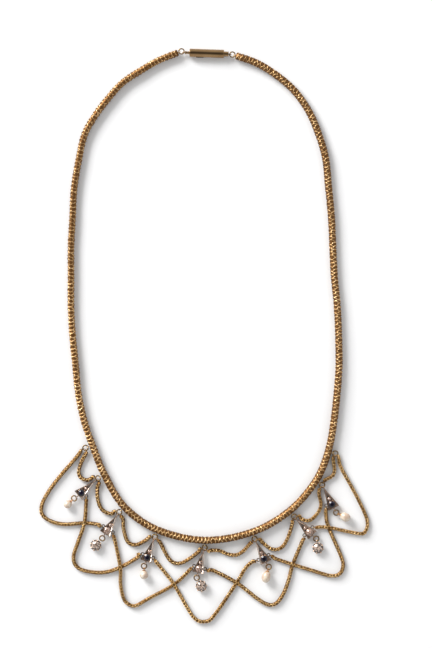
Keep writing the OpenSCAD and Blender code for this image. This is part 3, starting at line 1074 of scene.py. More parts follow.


# The woven golds' deep colour, taken by the links' hollows and the core, is partly patina and partly
# painted shade between the links
WOVEN_GOLD = MetalFinish(
    "woven_gold",
    Shades((1.0, 0.76, 0.45), (0.72, 0.46, 0.21), (0.17, 0.08, 0.028)),
    relief=True, tarnish=0.6, smooth=0.25, rough=0.5, grain=0.45, patch=1.4, speckle=0.7,
)
THIN_GOLD = MetalFinish(
    "woven_thin_gold",
    Shades((1.0, 0.83, 0.48), (0.88, 0.56, 0.23), (0.13, 0.06, 0.017)),
    relief=True, tarnish=0.6, smooth=0.25, rough=0.5, grain=0.45, patch=1.4, speckle=0.8,
)
WIRE_GOLD = MetalFinish(
    "gold_wire", Shades((0.26, 0.15, 0.045), (0.13, 0.07, 0.02), (0.04, 0.02, 0.006)),
    tarnish=0.8, smooth=0.3, rough=0.5,
)
CLASP_GOLD = MetalFinish(
    "clasp_gold", Shades((0.3, 0.19, 0.095), (0.22, 0.13, 0.06), (0.1, 0.06, 0.025)),
    tarnish=0.5, smooth=0.13, rough=0.25, patch=5.0, grain=0.2, speckle=0.12, bump=0.0015,
)
CAP_GOLD = MetalFinish(
    "cap_gold", Shades((0.85, 0.46, 0.17), (0.5, 0.25, 0.07), (0.18, 0.08, 0.02)), tarnish=0.5,
)
WHITE_METAL = MetalFinish(
    "white_metal", Shades((0.95, 0.82, 0.72), (0.56, 0.39, 0.29), (0.06, 0.035, 0.022)),
    relief=True, tarnish=0.5, smooth=0.12, rough=0.35, patch=2.0, grain=0.1, bump=0.003,
)
CLAW_METAL = MetalFinish(
    "claw_metal", Shades((0.74, 0.58, 0.46), (0.3, 0.19, 0.13), (0.04, 0.024, 0.016)),
    relief=True, tarnish=0.4, smooth=0.12, rough=0.35, patch=1.5, grain=0.1, bump=0.003,
)
SAPPHIRE = SkinFinish(
    "sapphire", (0.002, 0.001, 0.004), (0.005, 0.003, 0.014),
    cloud=1.0, grain=0.3, smooth=0.03, rough=0.1, bump=0.001, shader=(("IOR", 1.5),),
)
# Painted reflections: the pink-brown colour stands for the gold seen in the stone, and the fine clouds of
# pale and dark for its facets' flashes of light and dark
DIAMOND = SkinFinish(
    "diamond", (0.74, 0.5, 0.39), (0.07, 0.034, 0.022),
    cloud=0.34, grain=0.3, smooth=0.02, rough=0.08, bump=0.001,
    shader=(("IOR", 1.9), ("Transmission Weight", 0.3)),
)
# Painted reflections: the fine clouds of pale and dark stand for the facets' flashes of light and dark
CLAW_STONE = SkinFinish(
    "claw_stone", (0.8, 0.61, 0.49), (0.05, 0.026, 0.016),
    cloud=0.5, grain=0.3, smooth=0.02, rough=0.08, bump=0.001,
    shader=(("IOR", 1.9), ("Transmission Weight", 0.3)),
)
PEARL = SkinFinish(
    "pearl", (0.66, 0.585, 0.475), (0.54, 0.4, 0.3),
    cloud=1.6, grain=0.15, smooth=0.12, rough=0.25, bump=0.002,
    shader=(("Subsurface Weight", 0.15), ("Subsurface Radius", (0.002, 0.0014, 0.001)),
            ("Coat Weight", 0.7), ("Coat Roughness", 0.08)),
)
PAPER = SkinFinish(
    "paper_floor", (0.86, 0.86, 0.86), (0.84, 0.84, 0.845),
    cloud=60.0, grain=0.4, smooth=0.6, rough=0.75, bump=0.01,
)


@dataclass
class ThinChain:
    """A thin woven chain between two rings.

    Attributes:
        node: The frame's node that it stands for.
        start: Where its first loop holds.
        route: Its route's points.
        finish: Where its last loop holds.
        laps: Its half-laps with other chains.
        turn: How far its weave is rolled, in degrees.
        seed: Seed of its unevenness.
        weave: Its weave.
        step: The longest step along its middle line.
        down_over: Over how many leads it comes down from a ring to the surface.
        still_up: How far up it still is one lead from the ring, in shares of the way down.
        loop_crest: Crest of its two end loops.
    """

    node: str
    start: RingHold
    route: tuple[Point, ...]
    finish: RingHold
    laps: tuple[Lap, ...]
    turn: float
    seed: int
    weave: Weave = Weave(THIN_WIDTH, pitch=0.52, wire=0.23, steps=18, sides=5)
    step: float = 0.4
    down_over: float = 4
    still_up: float = 0.6
    loop_crest: float = 0.5

    def line(self) -> Line:
        """The chain's middle line, straight out of each ring and then down to the surface.

        Returns:
            The line, from its first loop to its last.
        """
        out = LOOP_REACH - FUSE
        flat = np.array([
            self.start.out(out), self.start.out(out + LEAD), *self.route,
            self.finish.out(out + LEAD), self.finish.out(out),
        ], dtype=float)
        curve = smooth_curve(flat, self.step)
        run = run_along(curve)
        heights = (RING_Z, THIN_Z + self.still_up * (RING_Z - THIN_Z), THIN_Z)
        places = (0, LEAD, self.down_over * LEAD)
        up = np.interp(np.minimum(run, run[-1] - run), places, heights)
        return Line(np.column_stack([curve, up]))

    def build(self, material: bpy.types.Material) -> None:
        """Builds the chain and lets it stand for its node.

        Args:
            material: The woven gold.
        """
        loops = [
            upright_loop(hold.out(0), hold.angle, RING_Z).worn(self.loop_crest)
            for hold in (self.start, self.finish)
        ]
        woven = self.weave.lay(self.line(), lambda share: self.turn, self.seed, self.laps)
        Solid.joined([woven, *loops]).piece("woven_" + self.node, material, [self.node], "woven_gold")


@dataclass
class Clasp:
    """The barrel clasp, closed: a barrel with a slot, and the spring tongue inside it.

    Attributes:
        start: The barrel's closed end.
        way: The direction of its axis, in degrees.
        width: The barrel's diameter.
        length: The barrel's length.
        wall: Thickness of its wall.
        end_wall: Thickness of its closed end.
        end_r: Radius of the flat in the middle of its closed end.
        neck: Length of the neck at either end.
        neck_sink: How far the neck runs into the barrel.
        neck_r: The neck's greatest radius.
        neck_waist: The neck's radii in shares of neck_r, at shares of its length.
        slot_at: Where its slot starts.
        slot_end: Where its slot ends.
        slot_half: Half the slot's width.
        edge_rows: Distances from an end of the rows of points that round it.
        body_rows: Places of rows of points along its length, either side of the slot.
        sides: Sides of its section, apart from the slot.
        crest: Its crest.
        left_ring_way: The direction from its left loop to that ring's middle, in degrees.
        right_ring_way: The same for its right loop.
    """

    start: Point = (-4.7, 96.2)
    way: float = -2.0
    width: float = 2.8
    length: float = 11.7
    wall: float = 0.3
    end_wall: float = 0.4
    end_r: float = 0.3
    neck: float = 1.6
    neck_sink: float = 0.1
    neck_r: float = 0.56
    neck_waist: tuple[Point, ...] = (
        (0.0, 0.92), (0.1, 1.0), (0.22, 0.9), (0.5, 0.8), (0.78, 0.9), (0.9, 1.0), (1.0, 0.85),
    )
    slot_at: float = 2.15
    slot_end: float = 4.85
    slot_half: float = 0.35
    edge_rows: tuple[float, ...] = (0.0, 0.03, 0.09, 0.16)
    body_rows: tuple[tuple[float, ...], tuple[float, ...]] = ((0.8,), (7, 9.5))
    sides: int = 48
    crest: float = 0.9
    left_ring_way: float = 152.0
    right_ring_way: float = -8.0

    def on_axis(self, at: float) -> np.ndarray:
        """A flat place along the clasp's axis, from the barrel's closed end."""
        return np.array(self.start) + at * toward(self.way)

    def loop_places(self) -> tuple[float, float]:
        """Places of the two end loops along the axis."""
        reach = LOOP_REACH - FUSE
        return -self.neck - reach, self.length + self.neck + reach

    def ring_places(self) -> tuple[np.ndarray, np.ndarray]:
        """Middles of the two jump rings.

        Returns:
            The left ring's middle and the right one's.
        """
        left, right = self.loop_places()
        return (
            self.on_axis(left) + RING_R * toward(self.left_ring_way),
            self.on_axis(right) + RING_R * toward(self.right_ring_way),
        )

    def _ring(self, x: float, radius: float) -> np.ndarray:
        """Points round the axis, from one side of the slot to the other and then at its middle.

        Args:
            x: Their place along the axis.
            radius: Their distance from it.

        Returns:
            The points.
        """
        slot = math.asin(self.slot_half / (self.width / 2))
        angles = -math.pi / 2 + slot + np.arange(self.sides + 1) * (2 * math.pi - 2 * slot) / self.sides
        angles = np.append(angles, -math.pi / 2)
        return np.column_stack([
            np.full(len(angles), x), radius * np.cos(angles), radius * np.sin(angles)])

    def _outer(self, x: float) -> float:
        """The barrel's outer radius at a place along it, smaller near its rounded ends.

        Args:
            x: The place.

        Returns:
            The radius there.
        """
        edge = self.edge_rows[-1]
        short = max(0.0, edge - min(x, self.length - x)) / edge
        return self.width / 2 - edge * (1 - math.sqrt(max(0.0, 1 - short * short)))

    def _shell(self) -> Solid:
        """The barrel's wall as one shell, with its slot on the side towards -Y.

        Returns:
            The shell, its axis along +X.
        """
        before, after = self.body_rows
        marks = [*self.edge_rows, *before, self.slot_at, self.slot_end, *after,
                 *(self.length - x for x in self.edge_rows[::-1])]
        inside = [x for x in marks[::-1] if self.end_wall < x]
        inner = self.width / 2 - self.wall

        # The closed end's flat, out along the barrel and back inside it, and the end's inner face
        rows = [self._ring(0, self.end_r)] + [self._ring(x, self._outer(x)) for x in marks]
        rows += [self._ring(x, inner) for x in inside]
        rows += [self._ring(self.end_wall, inner), self._ring(self.end_wall, self.end_r)]
        spans = [0.0, *marks, *inside, self.end_wall, self.end_wall]
        columns = self.sides + 2
        faces: list[tuple[int, ...]] = []
        for i, (x, ahead) in enumerate(zip(spans, spans[1:])):
            in_slot = self.slot_at < (x + ahead) / 2 < self.slot_end and x != ahead
            row, beyond = i * columns, (i + 1) * columns
            for s in range(self.sides if in_slot else columns):
                n = (s + 1) % columns
                faces.append((row + s, beyond + s, beyond + n, row + n))

        # The slot's four walls, between the rows at its ends and the columns at its sides
        outer_a, outer_b = ((1 + marks.index(x)) * columns for x in (self.slot_at, self.slot_end))
        inner_a, inner_b = (
            (1 + len(marks) + inside.index(x)) * columns for x in (self.slot_at, self.slot_end))
        side, middle = self.sides, self.sides + 1
        faces.append((outer_a + side, outer_b + side, inner_b + side, inner_a + side))
        faces.append((inner_a, inner_b, outer_b, outer_a))
        for s, n in ((side, middle), (middle, 0)):
            faces.append((inner_a + s, inner_a + n, outer_a + n, outer_a + s))
        for s, n in ((side, middle), (middle, 0)):
            faces.append((outer_b + s, outer_b + n, inner_b + n, inner_b + s))
        faces += flipped(end_faces(len(rows), columns))
        return Solid.proud(np.concatenate(rows), faces).worn(self.crest)

    def _neck(self) -> Solid:
        """The waisted neck, with a small bead at each end, that runs a little into the barrel.

        Returns:
            The neck, its axis along +X.
        """
        start, end = -self.neck, self.neck_sink
        outline = [(self.neck_r * r, start + (end - start) * at) for at, r in self.neck_waist]
        return laid_down(turned_form(outline, sides=24))

    def build(self, gold: bpy.types.Material, wire: bpy.types.Material) -> None:
        """Builds the barrel, and dresses the tongue and the two jump rings.

        Args:
            gold: The clasp's gold.
            wire: The gold of the jump rings.
        """
        shell = Solid.joined([self._shell(), self._neck()])
        barrel = Solid.joined([
            shell.moved((*self.start, self.width / 2), self.way),
            upright_loop(self.on_axis(self.loop_places()[0]), self.way, MAIN_Z),
        ])
        barrel.piece("polished_barrel", gold, ["clasp_barrel"], "clasp_gold")
        dress_node("clasp_tongue", gold)
        dress_node("clasp_ring_left", wire)
        dress_node("clasp_ring_right", wire)


def dress_node(name: str, material: bpy.types.Material) -> None:
    """Gives a frame's node a finish in place of its plain colour.

    Args:
        name: The node.
        material: Its finish.
    """
    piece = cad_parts[name]
    for held in piece.material_slots:
        held.material = material
    LOG.info("%s: dressed with %s", name, material.name)


@dataclass
class MainChain:
    """The thick woven chain, which turns slowly about its middle on its way round.

    Attributes:
        clasp: The clasp that closes it.
        turns: Its turn in degrees at shares of its length.
        hollow_darkening: How much darker its links' hollows are coloured at shares of its length.
        seed: Seed of its unevenness.
        weave: Its weave.
        step: The longest step along its middle line.
    """

    clasp: Clasp
    turns: tuple[Point, ...] = (
        (0.0, 0), (0.2, 0), (0.3, 8), (0.36, 15), (0.42, 38), (0.5, 45), (0.6, 45), (0.7, 48),
        (0.85, 42), (1.0, 36),
    )
    hollow_darkening: tuple[Point, ...] = (
        (0.0, 1.5), (0.16, 1.5), (0.24, 0.0), (0.36, 0.0), (0.42, 0.6), (0.58, 0.6), (0.66, 0.4),
        (0.8, 0.4), (0.88, 1.3), (1.0, 1.3),
    )
    seed: int = 40
    weave: Weave = Weave(MAIN_WIDTH, pitch=0.65, wire=0.38, steps=20, sides=5)
    step: float = 0.6

    def ends(self) -> tuple[RingHold, RingHold]:
        """Where the chain's two end loops hold the clasp's rings.

        Returns:
            The holds on the left ring and on the right one.
        """
        left, right = self.clasp.ring_places()
        return (
            RingHold(left, RING_R, way_of(np.subtract(MAIN_ROUTE[0], left))),
            RingHold(right, RING_R, way_of(np.subtract(MAIN_ROUTE[-1], right))),
        )

    def line(self) -> Line:
        """The chain's middle line, from the clasp round the front and back.

        Returns:
            The line, from the left ring to the right one.
        """
        left, right = self.ends()
        out = LOOP_REACH - FUSE
        flat = np.array([left.out(out), *MAIN_ROUTE[1:-1], right.out(out)], dtype=float)
        curve = smooth_curve(flat, self.step)
        return Line(np.column_stack([curve, np.full(len(curve), MAIN_Z)]))

    def roll(self, share: float) -> float:
        """The weave's turn in degrees at a share of the chain's length."""
        return float(np.interp(share, *zip(*self.turns)))

    def dulled(self, share: float) -> float:
        """How much darker the hollows are coloured at a share of the chain's length."""
        return float(np.interp(share, *zip(*self.hollow_darkening)))

    def build(self, material: bpy.types.Material) -> None:
        """Builds the chain with its end loops and hanger loops.

        Args:
            material: The woven gold.
        """
        left, right = self.ends()
        parts = [
            self.weave.lay(self.line(), self.roll, self.seed, dulled=self.dulled),
            upright_loop(left.out(0), left.angle, MAIN_Z),
            upright_loop(right.out(0), right.angle, MAIN_Z),
        ]
        for i in range(1, HANGERS + 1):
            inward = main_way(FIRST_HANGER + i - 1) + 90
            parts.append(upright_loop(hanger(i) + RING_R * toward(inward), inward, RING_Z))
        Solid.joined(parts).piece("woven_main_chain", material, ["main_chain"], "woven_gold")


@dataclass(frozen=True)
class Brilliant:
    """A round stone in full cut: table, stars, kites and girdle facets above, and mains below.

    Attributes:
        width: Its diameter.
        crown: Height of the table above the girdle, against the diameter.
        girdle: Thickness of the girdle, against the diameter.
        depth: Depth below the girdle, against the diameter.
        table: Width of the table, against the diameter.
        stars: Width across the stars' corners, against the diameter.
        stars_up: Their height, in shares of the crown.
        mains: Width across the upper corners of the pavilion's mains, against the diameter.
        mains_down: Their depth, in shares of the depth.
    """

    width: float
    crown: float = 0.17
    girdle: float = 0.03
    depth: float = 0.4
    table: float = 0.56
    stars: float = 0.79
    stars_up: float = 0.52
    mains: float = 0.25
    mains_down: float = 0.8

    def build(self, at: Sequence[float], way: float) -> Solid:
        """The stone, face up.

        Args:
            at: The middle of its girdle's lower edge.
            way: The direction of its first corner, in degrees.

        Returns:
            The stone's facets.
        """
        r = self.width / 2
        top = (self.crown + self.girdle) * self.width
        edge = self.girdle * self.width
        low = -self.depth * self.width

        def level(share: float, z: float, shift: float, count: int) -> list[Place]:
            """Corners on one level."""
            return [(*(share * r * toward(360 / count * (s + shift))), z) for s in range(count)]

        points = np.array([
            *level(self.table, top, 0, 8),
            *level(self.stars, edge + self.stars_up * (top - edge), 0.5, 8),
            *level(1.0, edge, 0, 16),
            *level(1.0, 0, 0, 16),
            *level(self.mains, self.mains_down * low, 0.5, 8),
            (0, 0, low),
        ])

        # The first corner of each level below the table, and the tip
        stars, above, below, mains, tip = 8, 16, 32, 48, 56
        faces: list[tuple[int, ...]] = [tuple(range(8))]
        for s in range(8):
            n = (s + 1) % 8
            star, main, next_main = stars + s, mains + s, mains + n
            a, b, c = above + 2 * s, above + 2 * s + 1, above + 2 * n
            low_a, low_b, low_c = below + 2 * s, below + 2 * s + 1, below + 2 * n
            faces += [(s, star, n), (s, a, star), (a, b, star), (b, c, star), (c, n, star)]
            faces += [(a, low_a, low_b, b), (b, low_b, low_c, c), (low_a, main, low_b)]
            faces += [(low_b, main, low_c), (low_c, main, next_main), (main, tip, next_main)]
        return Solid.proud(points, faces).moved(at, way)


@dataclass
class Setting:
    """One pointed openwork setting with its two collets, side eyes, stones and drop.

    Attributes:
        number: Counted from 1, from the left.
        length: From the middle of the top loop to the base.
        width: Width across the base.
        height: Height of the side walls in the frame.
        wall: Thickness of the side walls.
        brow: How far the walls' rims stand above that height.
        flat_rim: Width of the walls' flat rims.
        slope_in: How far the rims slope down inwards.
        slope_bend: How far down they are halfway, in shares of that.
        blunt: How far the metal's sharp corners are blunted.
        neck_at: Where the walls start, from the middle of the top loop.
        neck_w: Width across the walls there.
        stem_len: From the base to the middle of the lower loop.
        stem_r: Radius of the two stems.
        collet_wall: Thickness of the metal round a stone.
        collet_overlap: How far the two collets run into each other.
        shoulder: How far down a collet's outer slope reaches.
        shoulder_in: How far in it reaches.
        rubbed: How far a collet's rim is rubbed round.
        lip: How far down the rim's inner edge is.
        rim: How far a collet's rim stands above its stone's girdle.
        seat_down: Depth of a seat under the rim, as a length and, on top, in shares of the stone.
        hole: Radius of the hole under a stone, in shares of the stone.
        stone: Diameter of the main stone.
        small_stone: Diameter of the upper stone.
        girdle_lift: Height of the main stone's girdle above the walls' height.
        stone_fit: How much wider the stones are than in the frame.
        stone_turn: How far the stones are turned off the way that it points, in degrees.
        eye_r: Mean radius of a side eye.
        eye_wire: Thickness of its wire.
        eye_sink: How far it runs into the wall.
        eye_back: How far it stands back from the main stone's middle.
    """

    number: int
    length: float = 7.9
    width: float = 4.0
    height: float = 1.45
    wall: float = 0.42
    brow: float = 0.2
    flat_rim: float = 0.08
    slope_in: float = 0.22
    slope_bend: float = 0.45
    blunt: float = 0.03
    neck_at: float = 0.95
    neck_w: float = 0.44
    stem_len: float = 0.9
    stem_r: float = 0.2
    collet_wall: float = 0.22
    collet_overlap: float = 0.05
    shoulder: float = 0.3
    shoulder_in: float = 0.13
    rubbed: float = 0.04
    lip: float = 0.05
    rim: float = 0.1
    seat_down: Point = (0.1, 0.14)
    hole: float = 0.36
    stone: float = 2.2
    small_stone: float = 1.0
    girdle_lift: float = 0.05
    stone_fit: float = 1.03
    stone_turn: float = 11
    eye_r: float = 0.52
    eye_wire: float = 0.3
    eye_sink: float = 0.25
    eye_back: float = 0.5

    # Crests of the collets, the loops with the upper stem, the lower stem, and the side eyes
    COLLET_CREST = 0.78
    SMALL_COLLET_CREST = 0.72
    LOOP_CREST = 0.6
    STEM_CREST = 0.5
    EYE_CREST = 0.1

    @property
    def plan(self) -> Plan:
        """Where it hangs and points."""
        return PLANS[self.number - 1]

    @property
    def way(self) -> float:
        """The direction that it points, in degrees."""
        return self.plan.way

    @property
    def collet_r(self) -> float:
        """Outer radius of the main collet."""
        return self.stone / 2 + SLIP + self.collet_wall

    @property
    def small_collet_r(self) -> float:
        """Outer radius of the upper collet."""
        return self.small_stone / 2 + SLIP + self.collet_wall

    @property
    def stone_at(self) -> float:
        """The main stone's place along the setting."""
        return self.length - self.collet_r

    @property
    def small_stone_at(self) -> float:
        """The upper stone's place along the setting."""
        return self.stone_at - self.collet_r - self.small_collet_r + self.collet_overlap

    @property
    def girdle(self) -> float:
        """Height of the main stone's girdle."""
        return self.height + self.girdle_lift

    @property
    def flare(self) -> float:
        """How fast a side wall leaves the middle line."""
        return (self.width - self.neck_w) / 2 / (self.length - self.neck_at)

    def top(self) -> np.ndarray:
        """The middle of its top loop."""
        return hanger(self.plan.ring) + RING_R * toward(self.plan.at)

    def inside(self, along: float, left: float = 0.0) -> np.ndarray:
        """A place in the setting's own frame, as a place on the surface."""
        return self.top() + flat_spin(np.array([along, left]), self.way)

    @property
    def eye_sides(self) -> list[int]:
        """The sides with an eye, which are those with a neighbour."""
        return [side for side in (1, -1) if 1 <= self.number + side <= len(PLANS)]

    @property
    def eye_place(self) -> Point:
        """How far along the setting a side eye's middle is, and how far from its middle line.

        Returns:
            The two distances.
        """
        along = self.stone_at - self.eye_back
        half = self.neck_w / 2 + (along - self.neck_at) * self.flare
        return along, half + self.eye_r + self.eye_wire / 2 - self.eye_sink

    def eye(self, side: int) -> np.ndarray:
        """The middle of a side eye, side 1 or -1."""
        along, out = self.eye_place
        return self.inside(along, side * out)

    def drop_hold(self) -> np.ndarray:
        """The flat place on the drop ring where the drop's loop holds."""
        ring = self.inside(self.length + self.stem_len) + RING_R * toward(self.plan.ring_way)
        return ring + RING_R * toward(self.plan.drop_way)

    def _outline(self, inset: float) -> list[Point]:
        """The four corners of the pointed outline, drawn inwards.

        Args:
            inset: How far inwards.

        Returns:
            The corners, from the neck's left round the base.
        """
        slant = math.hypot(1, self.flare)
        least = 0.01
        front, base = self.neck_at + inset, self.length - inset

        def half(x: float) -> float:
            """Half the width at a place along."""
            return self.neck_w / 2 + (x - self.neck_at) * self.flare - inset * slant

        if half(front) < least:
            front = self.neck_at + (inset * slant - self.neck_w / 2 + least) / self.flare
        return [(front, half(front)), (front, -half(front)), (base, -half(base)), (base, half(base))]

    def _walls(self) -> Solid:
        """The pointed frame, its top sloping inwards from a narrow flat rim.

        Returns:
            The frame, one side wall painted lighter and the other darker, as the plan gives.
        """
        wall, flat, blunt = self.wall, self.flat_rim, self.blunt
        top = self.height + self.brow
        rows = [
            (blunt, 0.0), (0.0, blunt), (0.0, top - blunt), (blunt, top), (flat, top),
            ((flat + wall) / 2, top - self.slope_bend * self.slope_in), (wall, top - self.slope_in),
            (wall, blunt), (wall - blunt, 0.0),
        ]
        points = [(x, y, z) for inset, z in rows for x, y in self._outline(inset)]
        # Painted light: each side wall takes one crest from the plan, a painted highlight on one wall and
        # painted shade on the other
        right, left = self.plan.polish_and_painted_light
        crest = [share for _ in rows for share in (left, right, right, left)]
        return Solid(np.array(points), flipped(grid_faces(len(rows), 4, True)), np.array(crest))

    def _collet(self, at: float, stone: float, height: float) -> Solid:
        """A rubbed-over collet.

        Args:
            at: Its place along the setting.
            stone: The stone's diameter.
            height: The height of its rim.

        Returns:
            The collet.
        """
        inner = stone / 2 + SLIP
        outer = inner + self.collet_wall
        depth, share = self.seat_down
        seat = height - depth - share * stone
        outline = (
            (outer - self.blunt, 0.0), (outer, self.blunt), (outer, height - self.shoulder),
            (outer - self.shoulder_in, height - self.rubbed), (inner + self.rubbed, height),
            (inner, height - self.lip), (inner, seat), (stone * self.hole, seat),
            (stone * self.hole, 0.0),
        )
        return turned_form(outline, sides=40, closed=True).moved((at, 0, 0))

    def _metal(self) -> Solid:
        """The setting's metal, placed on the surface.

        Returns:
            Walls, collets, loops, stems and side eyes as one solid.
        """
        lower = self.length + self.stem_len
        collet = self._collet(self.stone_at, self.stone, self.girdle + self.rim)
        small_collet = self._collet(self.small_stone_at, self.small_stone, self.height + self.rim)
        parts = [
            self._walls(),
            collet.worn(self.COLLET_CREST),
            small_collet.worn(self.SMALL_COLLET_CREST),
            upright_loop((0, 0), 0, RING_Z).worn(self.LOOP_CREST),
            upright_loop((lower, 0), 0, RING_Z).worn(self.LOOP_CREST),
            stem(LOOP_R, self.neck_at + FUSE, self.stem_r).worn(self.LOOP_CREST),
            stem(self.length - self.wall / 2, lower - LOOP_R, self.stem_r).worn(self.STEM_CREST),
        ]
        along, out = self.eye_place
        for side in self.eye_sides:
            eye = flat_torus(self.eye_r, self.eye_wire, steps=36, sides=12).worn(self.EYE_CREST)
            parts.append(eye.moved((along, side * out, RING_Z)))
        return Solid.joined(parts).moved((*self.top(), 0), self.way)

    def _cut_stone(self, width: float, along: float, girdle: float) -> Solid:
        """A cut stone on its seat.

        Args:
            width: Its diameter in the frame.
            along: Its place along the setting.
            girdle: The height of its girdle.

        Returns:
            The stone.
        """
        stone = Brilliant(width * self.stone_fit)
        return stone.build((*self.inside(along), girdle), self.way + self.stone_turn)

    def upper_stone(self) -> Solid:
        """The small upper stone."""
        return self._cut_stone(self.small_stone, self.small_stone_at, self.height)

    def build(self, finishes: dict[str, bpy.types.Material]) -> None:
        """Builds the setting's metal and its main stone.

        Args:
            finishes: The materials by name.
        """
        i = self.number
        metal = finishes["white_metal"]
        self._metal().piece(f"pointed_setting_{i}", metal, [f"setting_{i}"], "white_metal")
        kind = "sapphire" if self.plan.drop is Drop.PEARL else "diamond"
        stone = self._cut_stone(self.stone, self.stone_at, self.girdle)
        stone.piece(f"{kind}_{i}", finishes[kind], [f"main_stone_{i}"], kind, smooth=False)


@dataclass
class PearlDrop:
    """A pearl in its cap, leaning on the surface.

    Attributes:
        setting: The setting that it hangs from.
        width: The usual width of a pearl.
        cap_start: Where its cap starts, from the middle of its loop.
        cap_len: Length of the cap.
        cap_hold: Share of the cap's length that the pearl doesn't reach.
        cap_tip_r: Radius of the bead at the cap's tip.
        cap_r: Radius of the cap's rim.
        lift: Room between the pearl and the surface.
        fuller: How much fuller the pearl's far end is.
        uneven: Height of the uneven skin in shares of the radius, and how much is taken off for it.
    """

    setting: Setting
    width: float = 3.0
    cap_start: float = 0.35
    cap_len: float = 0.55
    cap_hold: float = 0.45
    cap_tip_r: float = 0.25
    cap_r: float = 0.75
    lift: float = 0.06
    fuller: float = 0.05
    uneven: Point = (0.035, 0.008)

    # Waves of the uneven skin in each millimetre, and the step from one pearl's skin to the next
    WAVES = 0.7
    NEXT_SKIN = 9.3

    # Steps from pole to pole
    ROWS = 28

    @property
    def size(self) -> Point:
        """The pearl's width and length."""
        plan = self.setting.plan
        return self.width * plan.pearl_width, self.width * plan.pearl_length

    @property
    def middle(self) -> float:
        """Place of the pearl's middle along its axis."""
        return self.cap_start + self.cap_len * self.cap_hold + self.size[1] / 2

    @property
    def lean(self) -> float:
        """How far the axis leans up, in degrees, so that the pearl clears the surface."""
        return math.degrees(math.asin(max(0.0, self.size[0] / 2 + self.lift - RING_Z) / self.middle))

    def _pearl(self) -> Solid:
        """The pearl with a slightly uneven skin, its axis upright.

        Returns:
            The pearl, its loop's middle at the origin.
        """
        width, length = self.size
        outline = []
        for s in range(1, self.ROWS):
            a = math.pi * s / self.ROWS
            r = width / 2 * math.sin(a) * (1 - self.fuller * math.cos(a))
            outline.append((r, self.middle - length / 2 * math.cos(a)))
        pearl = turned_form(outline, sides=40)
        high, less = self.uneven
        skin = self.NEXT_SKIN * self.setting.number
        for k, (x, y, z) in enumerate(pearl.points):
            at = Vector((x * self.WAVES + skin, y * self.WAVES, z * self.WAVES))
            pearl.points[k, :2] *= 1 + high * noise.noise(at) - less
        return pearl

    def _cap(self) -> Solid:
        """The domed cap with a turned bead at its tip, its axis upright.

        Returns:
            The cap, its loop's middle at the origin.
        """
        start, tip = self.cap_start, self.cap_tip_r
        end, rim = self.cap_start + self.cap_len, self.cap_r
        bead = ((0.12, start - 0.02), (tip, start + 0.04), (tip, start + 0.12), (0.4, start + 0.16))
        dome = ((0.6, start + 0.3), (rim - 0.02, end - 0.06), (rim, end - 0.02))
        edge = ((rim - 0.03, end), (rim - 0.1, end - 0.03))
        return turned_form(bead + dome + edge, sides=32)

    def build(self, finishes: dict[str, bpy.types.Material]) -> None:
        """Builds the pearl and its cap.

        Args:
            finishes: The materials by name.
        """
        i, hold, way = self.setting.number, self.setting.drop_hold(), self.setting.plan.drop_way
        parts = (self._pearl(), self._cap())
        pearl, cap = (laid_down(part, self.lean).moved((*hold, RING_Z), way) for part in parts)
        pearl.piece(f"pearl_{i}", finishes["pearl"], [f"drop_{i}"], "pearl")
        mount = Solid.joined([cap, upright_loop(hold, way, RING_Z)])
        mount.piece(f"pearl_cap_{i}", finishes["cap_gold"], [f"drop_mount_{i}"], "gold_wire")


